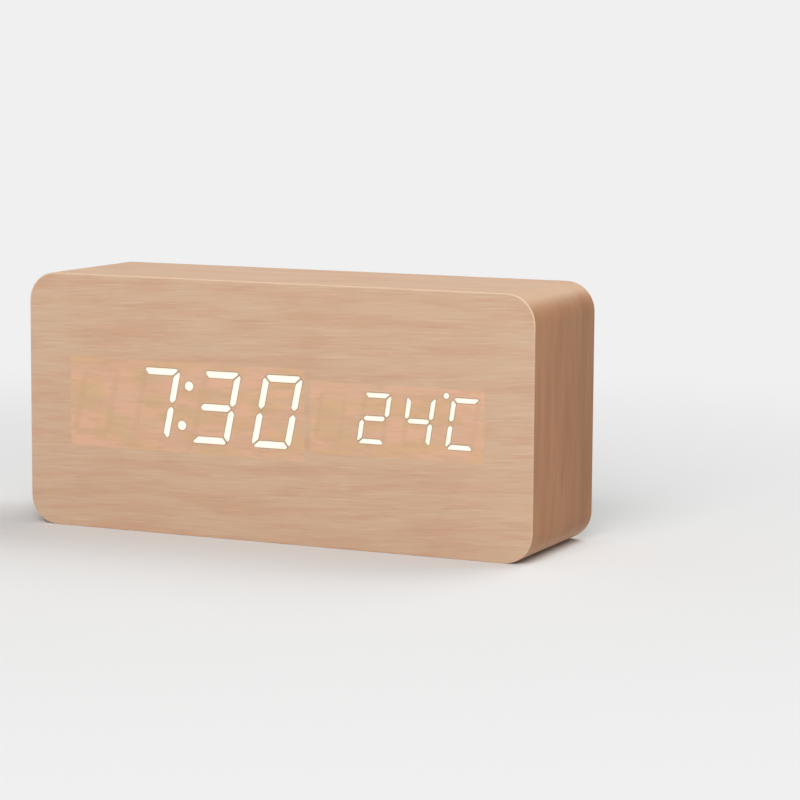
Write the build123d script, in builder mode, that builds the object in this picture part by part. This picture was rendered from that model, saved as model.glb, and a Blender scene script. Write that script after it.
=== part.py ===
from build123d import *
import os
from math import cos, hypot, pi, radians, sin, sqrt, tan

# Digital LED desk clock: a block of MDF covered with wood-grain film, its display shining
# through the front sheet, and a black moulded insert in the back.
# Millimetres. X runs along the block, -Y is the front, +Z is up, and the origin is
# the middle of the underside.

# The block
case_length = 150
case_height = 70
case_depth = 43
corner_radius = 8
film = 0.3
film_edge_round = 0.2
ring_wall = 7
router_radius = 3
front_board_thickness = 4
rear_board_thickness = 6
cut_overrun = 1

mid_z = case_height / 2
front_skin = -case_depth / 2
rear_skin = case_depth / 2
board_front = front_skin + film
front_board_back = board_front + front_board_thickness
rear_board_outer = rear_skin - film
rear_board_inner = rear_board_outer - rear_board_thickness
core_length = case_length - 2 * film
core_height = case_height - 2 * film
core_radius = corner_radius - film
inner_length = core_length - 2 * ring_wall
inner_height = core_height - 2 * ring_wall

# The two readings: digits from bars, slanted, the first digit of each unlit
display_rise = 0.5
display_shift = -0.4
block_gap = 1.7
time_reading = ["blank", "seven", "three", "zero"]
time_pitch = 18.45
time_rise = 17.9
time_width = 9.85
time_stroke = 1.95
time_slant = 11.5
time_side_margin = 2.3
time_end_margin = 2.4
temperature_reading = ["blank", "two", "four", "celsius"]
temperature_pitch = 12.65
temperature_rise = 12.3
temperature_width = 6.9
temperature_stroke = 1.4
temperature_slant = 8.5
temperature_side_margin = 1.9
temperature_end_margin = 2.7
bar_gap = 0.36
waist_gap = 0.8
tip_share = 0.45
corner_cut_share = 0.55
colon_dot_radius = 1.35
colon_rise = 5.4
degree_dot_radius = 0.85
degree_dot_back = 4.75
degree_dot_rise = 7.2
reflector_depth = 7
reflector_drop = 0.6
reflector_radius = 0.5
bar_clearance = 0.04
film_window_gap = 0.1
board_window_gap = 0.15

# The display board, what it carries, and its fixings
circuit_thickness = 1.6
display_board_height = 40
display_board_side_gap = 2.2
board_corner_radius = 1
board_screw_inset_x = 5
board_screw_inset_z = 3.4
spacer_radius = 2.8
screw_clearance = 0.2
pilot_clearance = 0.04
board_screw_radius = 1.2
board_screw_head_radius = 2.3
board_screw_head_height = 1.5
board_screw_bite = 3
chip_length = 1.2
chip_width = 0.8
chip_height = 0.6
controller_length = 18
driver_length = 12.8
package_width = 7.5
package_height = 2.2
package_lift = 0.15
lead_pitch = 1.27
lead_width = 0.45
lead_reach = 1.4
lead_thickness = 0.25
controller_x = -6
driver_x = 34
chips_rise = 5
crystal_radius = 1
crystal_length = 6
crystal_x = -25
capacitor_radius = 2.5
capacitor_length = 11
capacitor_edge_round = 0.5
capacitor_x = -45
capacitor_drop = 11

# Four AAA cells and their bay
cell_radius = 5.25
cell_length = 44.5
cell_nub_radius = 1.9
cell_nub_length = 1
cell_edge_chamfer = 0.5
cell_count = 4
cell_play = 0.4
cell_headroom = 0.6
cell_seat = 0.25
bay_wall = 1.6
bay_floor = 1.4
bay_rib_width = 1.2
bay_rib_height = 2
gusset_reach = 3.4
gusset_height = 9
gusset_width = 1.2
gusset_spacing = 15.6
contact_thickness = 0.4
contact_width = 8
contact_height = 8
contact_dimple_radius = 2
contact_dimple_height = 0.5
contact_touch = 0.05
tail_width = 2
tail_length = 1.4
tail_clearance = 0.2
spring_length = 4.1
spring_base_radius = 3.1
spring_tip_radius = 2.2
spring_wire_radius = 0.3
spring_turns = 3
spring_steps_per_turn = 4
gap_steps_per_turn = 16
wire_sides = 8

# The battery door, its hook tabs and its U latch
door_thickness = 1.8
door_seat_gap = 0.2
door_gap = 0.3
door_margin = 1.2
door_radius = 0.8
door_edge_round = 0.3
door_rib_width = 1
door_rib_height = 1.4
door_rib_inset = 5
grip_count = 4
grip_pitch = 1.7
grip_width = 0.8
grip_length = 16
grip_depth = 0.4
grip_gap = 2.2
hook_width = 6
hook_spacing = 30
hook_thickness = 1
hook_reach = 1.8
hook_root_start = 0.2
hook_root_length = 1.4
hook_side_gap = 0.4
hook_sweep_gap = 0.6
lip_thickness = 2.2
lip_gap = 0.2
latch_width = 12
latch_side_gap = 0.3
latch_wall_gap = 0.8
latch_leg = 1
latch_bend_radius = 1.3
latch_axis_depth = 8
latch_nub_reach = 0.5
latch_nub_top = 3.3
latch_nub_height = 1.1
latch_nub_run = 1.7
latch_pad_thickness = 1
latch_pad_length = 2.5
latch_pad_sink = 0.2
latch_pad_side = 0.4

# Keys, key board, sound and power
panel_length = 44
panel_height = 12
panel_radius = 2.5
panel_depth = 1.2
panel_rise = 11
button_pitch = 13.5
button_length = 9
button_height = 5
button_radius = 2.3
button_sink = 0.2
button_gap = 0.2
button_flange = 1
button_flange_thickness = 0.8
button_rest_gap = 0.1
button_stem_radius = 1.6
button_edge_round = 0.5
switch_size = 6
switch_height = 3.5
switch_corner_radius = 0.5
plunger_radius = 1.75
plunger_rise = 1.5
plunger_depth = 1.2
plunger_clearance = 0.08
press_travel = 0.5
press_reserve = 0.1
stem_length = 2
key_board_length = 45
key_board_height = 41
boss_radius = 2.5
boss_inset = 3.5
key_screw_radius = 1
key_screw_head_radius = 1.9
key_screw_head_height = 1.3
key_screw_bite = 5
socket_side = 12
socket_drop = 13
socket_width = 7.5
socket_height = 2.6
socket_taper = 1.4
socket_wall = 0.3
socket_mouth_sink = 1
socket_slot_gap = 0.45
socket_recess_side = 1.9
socket_recess_radius = 1.4
socket_recess_depth = 0.7
tongue_width = 3.8
tongue_thickness = 0.6
tongue_sink = 1.2
socket_base = 2
socket_fit = 0.05
buzzer_side = 12
buzzer_drop = 11
buzzer_radius = 6
buzzer_height = 6.5
buzzer_edge_round = 0.5
buzzer_port_radius = 1
buzzer_port_depth = 1.5
grille_hole_radius = 0.7
grille_ring_radius = 2.6
grille_ring_count = 6
microphone_drop = 5
microphone_radius = 3
microphone_height = 4.5
microphone_edge_round = 0.5
microphone_port_radius = 0.6
thermistor_drop = 11
thermistor_radius = 1.1
thermistor_lead_radius = 0.25
thermistor_lead_spacing = 1.2
thermistor_room = 1.2
vent_width = 1
vent_length = 5
vent_pitch = 2.2
vent_count = 3

# Wires and the flat cable
lead_wire_radius = 0.6
lead_wire_drop = 8
lead_wire_pad_inset = 4
lead_bend_share = 0.45
cable_width = 10
cable_thickness = 0.9
cable_plug_length = 12.5
cable_plug_width = 4
cable_plug_height = 4.5
cable_plug_round = 0.4
cable_side = 9
cable_board_drop = 11
cable_key_drop = 1
cable_bend_share = 0.4

# The rear insert, as long and as tall as what it holds
bay_side_room = 6
bay_key_gap = 12.5
key_side_room = 2.5
bay_level_room = 0.9
opening_radius = 2
plate_flange_x = 7
plate_flange_z = 2
plate_radius = 3
plate_thickness = 3
plate_gap = 0.15
insert_screw_inset_x = 3.5
insert_screw_inset_z = 8
insert_screw_radius = 1.25
insert_screw_head_radius = 2.5
insert_screw_length = 9
head_sink = 0.2
scoop_radius = 4.6
scoop_depth = 1.2
pad_rib_count = 3
pad_rib_width = 0.4
pad_rib_height = 0.15
screw_cross_share = 0.25

cell_pitch = 2 * cell_radius + cell_play
bay_height = cell_count * cell_pitch + cell_play
bay_length = (
    cell_length + spring_length + 2 * contact_thickness + contact_dimple_height + 2 * contact_touch
)
opening_length = bay_side_room + bay_length + bay_key_gap + key_board_length + key_side_room
opening_height = bay_height + 2 * bay_wall + 2 * bay_level_room
plate_length = opening_length + 2 * plate_flange_x
plate_height = opening_height + 2 * plate_flange_z
plate_inner = rear_skin - plate_thickness
bay_start_x = bay_side_room - opening_length / 2
bay_end_x = bay_start_x + bay_length
bay_middle_x = bay_start_x + bay_length / 2
key_middle_x = opening_length / 2 - key_side_room - key_board_length / 2
panel_z = mid_z + panel_rise
socket_x = key_middle_x + socket_side
socket_z = mid_z - socket_drop
buzzer_x = key_middle_x - buzzer_side
buzzer_z = mid_z - buzzer_drop
microphone_z = mid_z - microphone_drop
thermistor_z = mid_z - thermistor_drop
cable_x = key_middle_x + cable_side
cable_board_z = mid_z - cable_board_drop
cable_key_z = mid_z - cable_key_drop
chips_z = mid_z + chips_rise
capacitor_z = mid_z - capacitor_drop


# Helpers

def layer(y, x=0, z=0):
    """Sketch plane across the block's depth: X to the right, Z up, growing towards the front."""
    return Plane(origin=(x, y, z), x_dir=(1, 0, 0), z_dir=(0, -1, 0))


def backward(x, y, z):
    """Plane whose normal points out of the back."""
    return Plane(origin=(x, y, z), x_dir=(-1, 0, 0), z_dir=(0, 1, 0))


def pan_screw(shank_radius, shank_length, head_radius, head_height):
    """Screw along its own Z with a domed, crossed head that sits on Z = 0."""
    crown = head_height / 2
    with BuildPart() as screw:
        with BuildSketch(Plane.XZ):
            with BuildLine():
                Polyline(
                    (0, head_height),
                    (0, -shank_length),
                    (shank_radius / 2, -shank_length),
                    (shank_radius, -shank_length + shank_radius),
                    (shank_radius, 0),
                    (head_radius, 0),
                    (head_radius, crown),
                )
                TangentArc((0, head_height), (head_radius, crown), tangent=(1, 0))
            make_face()
        revolve(axis=Axis.Z)
        with BuildSketch(Plane.XY.offset(head_height)):
            Rectangle(head_radius, screw_cross_share * head_radius)
            Rectangle(screw_cross_share * head_radius, head_radius)
        extrude(amount=-crown, mode=Mode.SUBTRACT)
    return screw.part


def sunk_screw(shank_radius, shank_length, head_radius):
    """Countersunk screw along its own Z, its flat crossed head ending at Z = 0."""
    cone = head_radius - shank_radius
    with BuildPart() as screw:
        with BuildSketch(Plane.XZ):
            with BuildLine():
                Polyline(
                    (0, 0),
                    (0, -shank_length),
                    (shank_radius / 2, -shank_length),
                    (shank_radius, -shank_length + shank_radius),
                    (shank_radius, -cone),
                    (head_radius, 0),
                    close=True,
                )
            make_face()
        revolve(axis=Axis.Z)
        with BuildSketch():
            Rectangle(head_radius, screw_cross_share * head_radius)
            Rectangle(screw_cross_share * head_radius, head_radius)
        extrude(amount=-cone / 2, mode=Mode.SUBTRACT)
    return screw.part


def bar_shapes(rise, width, stroke, slant):
    """Outlines of the seven bars of a digit about its middle, as lists of points."""
    half_rise = rise / 2
    half_width = width / 2
    half = stroke / 2
    trim = bar_gap / sqrt(2)
    tip = tip_share * stroke
    cut = corner_cut_share * stroke / 2
    lean = half - cut
    end = half_width - trim
    top = half_rise - trim
    waist = waist_gap / 2
    flat_bar = [
        (end + lean - cut, half_rise + half),
        (end + lean, half_rise + lean),
        (end - half, half_rise - half),
        (half - end, half_rise - half),
        (-end - lean, half_rise + lean),
        (cut - lean - end, half_rise + half),
    ]
    middle_bar = [
        (end, 0),
        (end - tip, half),
        (tip - end, half),
        (-end, 0),
        (tip - end, -half),
        (end - tip, -half),
    ]
    upright_bar = [
        (half_width + lean, top + lean),
        (half_width + half, top + lean - cut),
        (half_width + half, waist + tip),
        (half_width, waist),
        (half_width - half, waist + tip),
        (half_width - half, top - half),
    ]
    turned = {
        "a": (flat_bar, 1, 1),
        "b": (upright_bar, 1, 1),
        "c": (upright_bar, 1, -1),
        "d": (flat_bar, 1, -1),
        "e": (upright_bar, -1, -1),
        "f": (upright_bar, -1, 1),
        "g": (middle_bar, 1, 1),
    }
    lean_out = tan(radians(slant))
    shapes = {}
    for name, (points, side, level) in turned.items():
        shapes[name] = [(side * x + level * z * lean_out, level * z) for x, z in points]
    return shapes


lit_bars = {
    "blank": "",
    "zero": "abcdef",
    "two": "abdeg",
    "three": "abcdg",
    "four": "bcfg",
    "seven": "abc",
    "celsius": "adef",
}
display_z = mid_z + display_rise
time_span = (len(time_reading) - 1) * time_pitch
time_block_length = time_span + time_width + time_stroke + 2 * time_side_margin
time_block_height = time_rise + time_stroke + 2 * time_end_margin
temperature_span = (len(temperature_reading) - 1) * temperature_pitch
temperature_block_length = (
    temperature_span + temperature_width + temperature_stroke + 2 * temperature_side_margin
)
temperature_block_height = temperature_rise + temperature_stroke + 2 * temperature_end_margin
block_z = display_z - reflector_drop
display_length = time_block_length + block_gap + temperature_block_length
time_middle_x = display_shift - display_length / 2 + time_block_length / 2
time_first_x = time_middle_x - time_span / 2
temperature_middle_x = display_shift + display_length / 2 - temperature_block_length / 2
temperature_first_x = temperature_middle_x - temperature_span / 2

time_shapes = bar_shapes(time_rise, time_width, time_stroke, time_slant)
temperature_shapes = bar_shapes(
    temperature_rise, temperature_width, temperature_stroke, temperature_slant
)


def bars(reading, shapes, first_x, pitch, lit):
    """Outlines of the lit or the unlit bars of a whole reading, placed on the front."""
    outlines = []
    for place, symbol in enumerate(reading):
        digit_x = first_x + place * pitch
        for name, points in shapes.items():
            if (name in lit_bars[symbol]) == lit:
                outlines.append([(digit_x + x, display_z + z) for x, z in points])
    return outlines


def bars_of(reading_name, lit):
    """The lit or the unlit bars of the time or the temperature."""
    if reading_name == "time":
        return bars(time_reading, time_shapes, time_first_x, time_pitch, lit)
    return bars(
        temperature_reading, temperature_shapes, temperature_first_x, temperature_pitch, lit
    )


colon_lean = colon_rise * tan(radians(time_slant))
colon_dots = [
    (time_middle_x + colon_lean, display_z + colon_rise),
    (time_middle_x - colon_lean, display_z - colon_rise),
]
degree_dot_x = temperature_first_x + temperature_span - degree_dot_back
degree_dot = (degree_dot_x, display_z + degree_dot_rise)

circuit_front = board_front + reflector_depth
circuit_back = circuit_front + circuit_thickness
chip_top = circuit_front - chip_height


# The block: MDF ring, front board with display windows, rear board with an opening

with BuildPart() as case_ring:
    with BuildSketch(layer(rear_board_inner)):
        with Locations((0, mid_z)):
            RectangleRounded(core_length, core_height, core_radius)
            RectangleRounded(inner_length, inner_height, router_radius, mode=Mode.SUBTRACT)
    extrude(amount=rear_board_inner - front_board_back)

display_board_length = inner_length - 2 * display_board_side_gap
board_screw_x = display_board_length / 2 - board_screw_inset_x
board_screw_z = display_board_height / 2 - board_screw_inset_z
board_screw_places = [
    (side * board_screw_x, block_z + level * board_screw_z) for side in (-1, 1) for level in (-1, 1)
]

with BuildPart() as front_board:
    with BuildSketch(layer(front_board_back)):
        with Locations((0, mid_z)):
            RectangleRounded(core_length, core_height, core_radius)
        with Locations((time_middle_x, block_z)):
            Rectangle(
                time_block_length + 2 * board_window_gap,
                time_block_height + 2 * board_window_gap,
                mode=Mode.SUBTRACT,
            )
        with Locations((temperature_middle_x, block_z)):
            Rectangle(
                temperature_block_length + 2 * board_window_gap,
                temperature_block_height + 2 * board_window_gap,
                mode=Mode.SUBTRACT,
            )
    extrude(amount=front_board_thickness)
    with BuildSketch(layer(front_board_back)):
        with Locations(*board_screw_places):
            Circle(board_screw_radius + pilot_clearance)
    extrude(amount=board_screw_bite + screw_clearance, mode=Mode.SUBTRACT)

insert_screw_x = plate_length / 2 - insert_screw_inset_x
insert_screw_z = plate_height / 2 - insert_screw_inset_z
insert_screw_places = [
    (side * insert_screw_x, mid_z + level * insert_screw_z) for side in (-1, 1) for level in (-1, 1)
]

with BuildPart() as rear_board:
    with BuildSketch(layer(rear_board_outer)):
        with Locations((0, mid_z)):
            RectangleRounded(core_length, core_height, core_radius)
            RectangleRounded(opening_length, opening_height, opening_radius, mode=Mode.SUBTRACT)
    extrude(amount=rear_board_thickness)
    with BuildSketch(layer(rear_board_outer)):
        with Locations((0, mid_z)):
            RectangleRounded(
                plate_length + 2 * plate_gap, plate_height + 2 * plate_gap, plate_radius + plate_gap
            )
    extrude(amount=rear_board_outer - plate_inner, mode=Mode.SUBTRACT)
    with BuildSketch(layer(rear_board_outer)):
        with Locations(*insert_screw_places):
            Circle(insert_screw_radius + pilot_clearance)
    extrude(amount=rear_board_thickness, mode=Mode.SUBTRACT)


# The film: front sheet with windows over the lit bars, perimeter wrap, base strip, rear sheet

with BuildPart() as front_film:
    with BuildSketch(layer(board_front)):
        with Locations((0, mid_z)):
            RectangleRounded(case_length, case_height, corner_radius)
    extrude(amount=film)
    fillet(front_film.faces().sort_by(Axis.Y)[0].outer_wire().edges(), radius=film_edge_round)
    with BuildSketch(layer(board_front)):
        for outline in bars_of("time", True) + bars_of("temperature", True):
            Polygon(*outline, align=None)
        with Locations(*colon_dots):
            Circle(colon_dot_radius)
        with Locations(degree_dot):
            Circle(degree_dot_radius)
        offset(amount=film_window_gap, kind=Kind.INTERSECTION)
    extrude(amount=film, mode=Mode.SUBTRACT)

flat_base = case_length - 2 * corner_radius

with BuildPart() as side_wrap:
    with BuildSketch(layer(rear_board_outer)):
        with Locations((0, mid_z)):
            RectangleRounded(case_length, case_height, corner_radius)
            RectangleRounded(core_length, core_height, core_radius, mode=Mode.SUBTRACT)
        Rectangle(flat_base, 2 * film, mode=Mode.SUBTRACT)
    extrude(amount=rear_board_outer - board_front)

with BuildPart() as base_strip:
    with BuildSketch(layer(rear_board_outer)):
        Rectangle(flat_base, film, align=(Align.CENTER, Align.MIN))
    extrude(amount=rear_board_outer - board_front)

with BuildPart() as rear_film:
    with BuildSketch(layer(rear_skin)):
        with Locations((0, mid_z)):
            RectangleRounded(case_length, case_height, corner_radius)
    extrude(amount=film)
    fillet(rear_film.faces().sort_by(Axis.Y)[-1].outer_wire().edges(), radius=film_edge_round)
    with BuildSketch(layer(rear_skin)):
        with Locations((0, mid_z)):
            RectangleRounded(
                plate_length + 2 * plate_gap, plate_height + 2 * plate_gap, plate_radius + plate_gap
            )
    extrude(amount=film, mode=Mode.SUBTRACT)


# The display: two reflector blocks, a light pipe in every bar, chips, board, spacers, screws

with BuildPart() as time_reflector:
    with BuildSketch(layer(circuit_front)):
        with Locations((time_middle_x, block_z)):
            RectangleRounded(time_block_length, time_block_height, reflector_radius)
    extrude(amount=reflector_depth)
    with BuildSketch(layer(circuit_front)):
        for outline in bars_of("time", True) + bars_of("time", False):
            Polygon(*outline, align=None)
        with Locations(*colon_dots):
            Circle(colon_dot_radius)
        offset(amount=bar_clearance, kind=Kind.INTERSECTION)
    extrude(amount=reflector_depth, mode=Mode.SUBTRACT)

with BuildPart() as temperature_reflector:
    with BuildSketch(layer(circuit_front)):
        with Locations((temperature_middle_x, block_z)):
            RectangleRounded(temperature_block_length, temperature_block_height, reflector_radius)
    extrude(amount=reflector_depth)
    with BuildSketch(layer(circuit_front)):
        for outline in bars_of("temperature", True) + bars_of("temperature", False):
            Polygon(*outline, align=None)
        with Locations(degree_dot):
            Circle(degree_dot_radius)
        offset(amount=bar_clearance, kind=Kind.INTERSECTION)
    extrude(amount=reflector_depth, mode=Mode.SUBTRACT)

with BuildPart() as time_bars_lit:
    with BuildSketch(layer(chip_top)):
        for outline in bars_of("time", True):
            Polygon(*outline, align=None)
        with Locations(*colon_dots):
            Circle(colon_dot_radius)
    extrude(amount=chip_top - front_skin)

with BuildPart() as time_bars_unlit:
    with BuildSketch(layer(chip_top)):
        for outline in bars_of("time", False):
            Polygon(*outline, align=None)
    extrude(amount=chip_top - board_front)

with BuildPart() as temperature_bars_lit:
    with BuildSketch(layer(chip_top)):
        for outline in bars_of("temperature", True):
            Polygon(*outline, align=None)
        with Locations(degree_dot):
            Circle(degree_dot_radius)
    extrude(amount=chip_top - front_skin)

with BuildPart() as temperature_bars_unlit:
    with BuildSketch(layer(chip_top)):
        for outline in bars_of("temperature", False):
            Polygon(*outline, align=None)
    extrude(amount=chip_top - board_front)


def chip_places():
    """Middle and turn of the chip under each bar and dot."""
    places = [(x, z, 0) for x, z in colon_dots + [degree_dot]]
    for reading_name in ("time", "temperature"):
        for outline in bars_of(reading_name, True) + bars_of(reading_name, False):
            middle_x = sum(x for x, z in outline) / len(outline)
            middle_z = sum(z for x, z in outline) / len(outline)
            far_x, far_z = max(outline, key=lambda point: hypot(point[0] - middle_x, point[1] - middle_z))
            across = abs(far_x - middle_x) > abs(far_z - middle_z)
            slant = time_slant if reading_name == "time" else temperature_slant
            places.append((middle_x, middle_z, 0 if across else 90 - slant))
    return places


with BuildPart() as led_chips:
    with BuildSketch(layer(circuit_front)):
        for chip_x, chip_z, turn in chip_places():
            with Locations((chip_x, chip_z)):
                if (chip_x, chip_z) == degree_dot:
                    Rectangle(chip_width, chip_width)
                else:
                    Rectangle(chip_length, chip_width, rotation=turn)
    extrude(amount=chip_height)

with BuildPart() as display_board:
    with BuildSketch(layer(circuit_back)):
        with Locations((0, block_z)):
            RectangleRounded(display_board_length, display_board_height, board_corner_radius)
        with Locations(*board_screw_places):
            Circle(board_screw_radius + screw_clearance, mode=Mode.SUBTRACT)
    extrude(amount=circuit_thickness)

with BuildPart() as board_spacers:
    with BuildSketch(layer(circuit_front)):
        with Locations(*board_screw_places):
            Circle(spacer_radius)
            Circle(board_screw_radius + screw_clearance, mode=Mode.SUBTRACT)
    extrude(amount=circuit_front - front_board_back)

board_screw = pan_screw(
    board_screw_radius,
    circuit_back - front_board_back + board_screw_bite,
    board_screw_head_radius,
    board_screw_head_height,
)
with BuildPart() as board_screws:
    with Locations(*[backward(x, circuit_back, z) for x, z in board_screw_places]):
        add(board_screw)


def chip_package(length):
    """Small-outline package that stands on a board along its own Z, with leads on both sides."""
    leads_per_side = int(length // lead_pitch)
    with BuildPart() as package:
        with BuildSketch(Plane.XY.offset(package_lift)):
            Rectangle(length, package_width)
        extrude(amount=package_height)
        with BuildSketch(Plane.XY):
            with GridLocations(lead_pitch, package_width + lead_reach, leads_per_side, 2):
                Rectangle(lead_width, lead_reach)
        extrude(amount=lead_thickness)
    return package.part


with BuildPart() as controller_chip:
    with Locations(backward(controller_x, circuit_back, chips_z)):
        add(chip_package(controller_length))

driver = chip_package(driver_length)
with BuildPart() as driver_chips:
    with Locations(*[backward(side * driver_x, circuit_back, chips_z) for side in (-1, 1)]):
        add(driver)

with BuildPart() as quartz_crystal:
    with BuildSketch(Plane.YZ.offset(crystal_x)):
        with Locations((circuit_back + crystal_radius, chips_z)):
            Circle(crystal_radius)
    extrude(amount=crystal_length)

with BuildPart() as capacitor:
    with BuildSketch(layer(circuit_back, capacitor_x, capacitor_z)):
        Circle(capacitor_radius)
    extrude(amount=-capacitor_length)
    fillet(capacitor.faces().sort_by(Axis.Y)[-1].edges(), radius=capacitor_edge_round)


# The rear insert: plate, bay for four cells, latch pocket, hook pockets, key panel, bosses

cell_places = [mid_z + (place - (cell_count - 1) / 2) * cell_pitch for place in range(cell_count)]
door_inner = rear_skin - door_thickness
door_seat = door_inner - door_seat_gap
cell_y = door_inner - cell_headroom - cell_radius
bay_bottom = cell_y - cell_radius - cell_seat
bay_outside = bay_bottom - bay_floor

hinge_x = bay_start_x - door_margin
leg_start_x = bay_end_x + bay_wall + latch_wall_gap
latch_axis_x = leg_start_x + latch_leg + latch_bend_radius
latch_axis_y = rear_skin - latch_axis_depth
spring_leg_x = latch_axis_x + latch_bend_radius
door_end_x = spring_leg_x + latch_leg + latch_nub_reach
door_length = door_end_x - hinge_x
door_middle_x = (door_end_x + hinge_x) / 2
door_height = bay_height + 2 * door_margin
grip_middle_x = leg_start_x - grip_gap - (grip_count - 1) * grip_pitch / 2

hook_outer = rear_skin - lip_thickness - lip_gap
hook_inner = hook_outer - hook_thickness
hook_room = hypot(hook_reach, rear_skin - hook_inner) + hook_sweep_gap
hook_places = [mid_z - hook_spacing / 2, mid_z + hook_spacing / 2]
gusset_places = [mid_z - gusset_spacing / 2, mid_z + gusset_spacing / 2]

panel_floor = rear_skin - panel_depth
button_face = rear_skin - button_sink
flange_top = plate_inner - button_rest_gap
flange_bottom = flange_top - button_flange_thickness
stem_bottom = flange_bottom - stem_length
key_board_back = stem_bottom - plunger_rise - switch_height
key_board_front = key_board_back - circuit_thickness
button_places = [key_middle_x + place * button_pitch for place in (-1, 0, 1)]

boss_x = key_board_length / 2 - boss_inset
boss_z = key_board_height / 2 - boss_inset
boss_places = [
    (key_middle_x - boss_x, mid_z),
    (key_middle_x + boss_x, mid_z),
    (key_middle_x, mid_z - boss_z),
]

key_screw = pan_screw(
    key_screw_radius,
    circuit_thickness + key_screw_bite,
    key_screw_head_radius,
    key_screw_head_height,
)


def socket_profile(grow):
    """The socket's outline, wider at the top, grown by a gap or shrunk by a wall."""
    half_width = socket_width / 2 + grow
    half_height = socket_height / 2 + grow
    foot = half_width - socket_taper / 2
    return [
        (socket_x - half_width, socket_z + half_height),
        (socket_x + half_width, socket_z + half_height),
        (socket_x + half_width, socket_z),
        (socket_x + foot, socket_z - half_height),
        (socket_x - foot, socket_z - half_height),
        (socket_x - half_width, socket_z),
    ]


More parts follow.
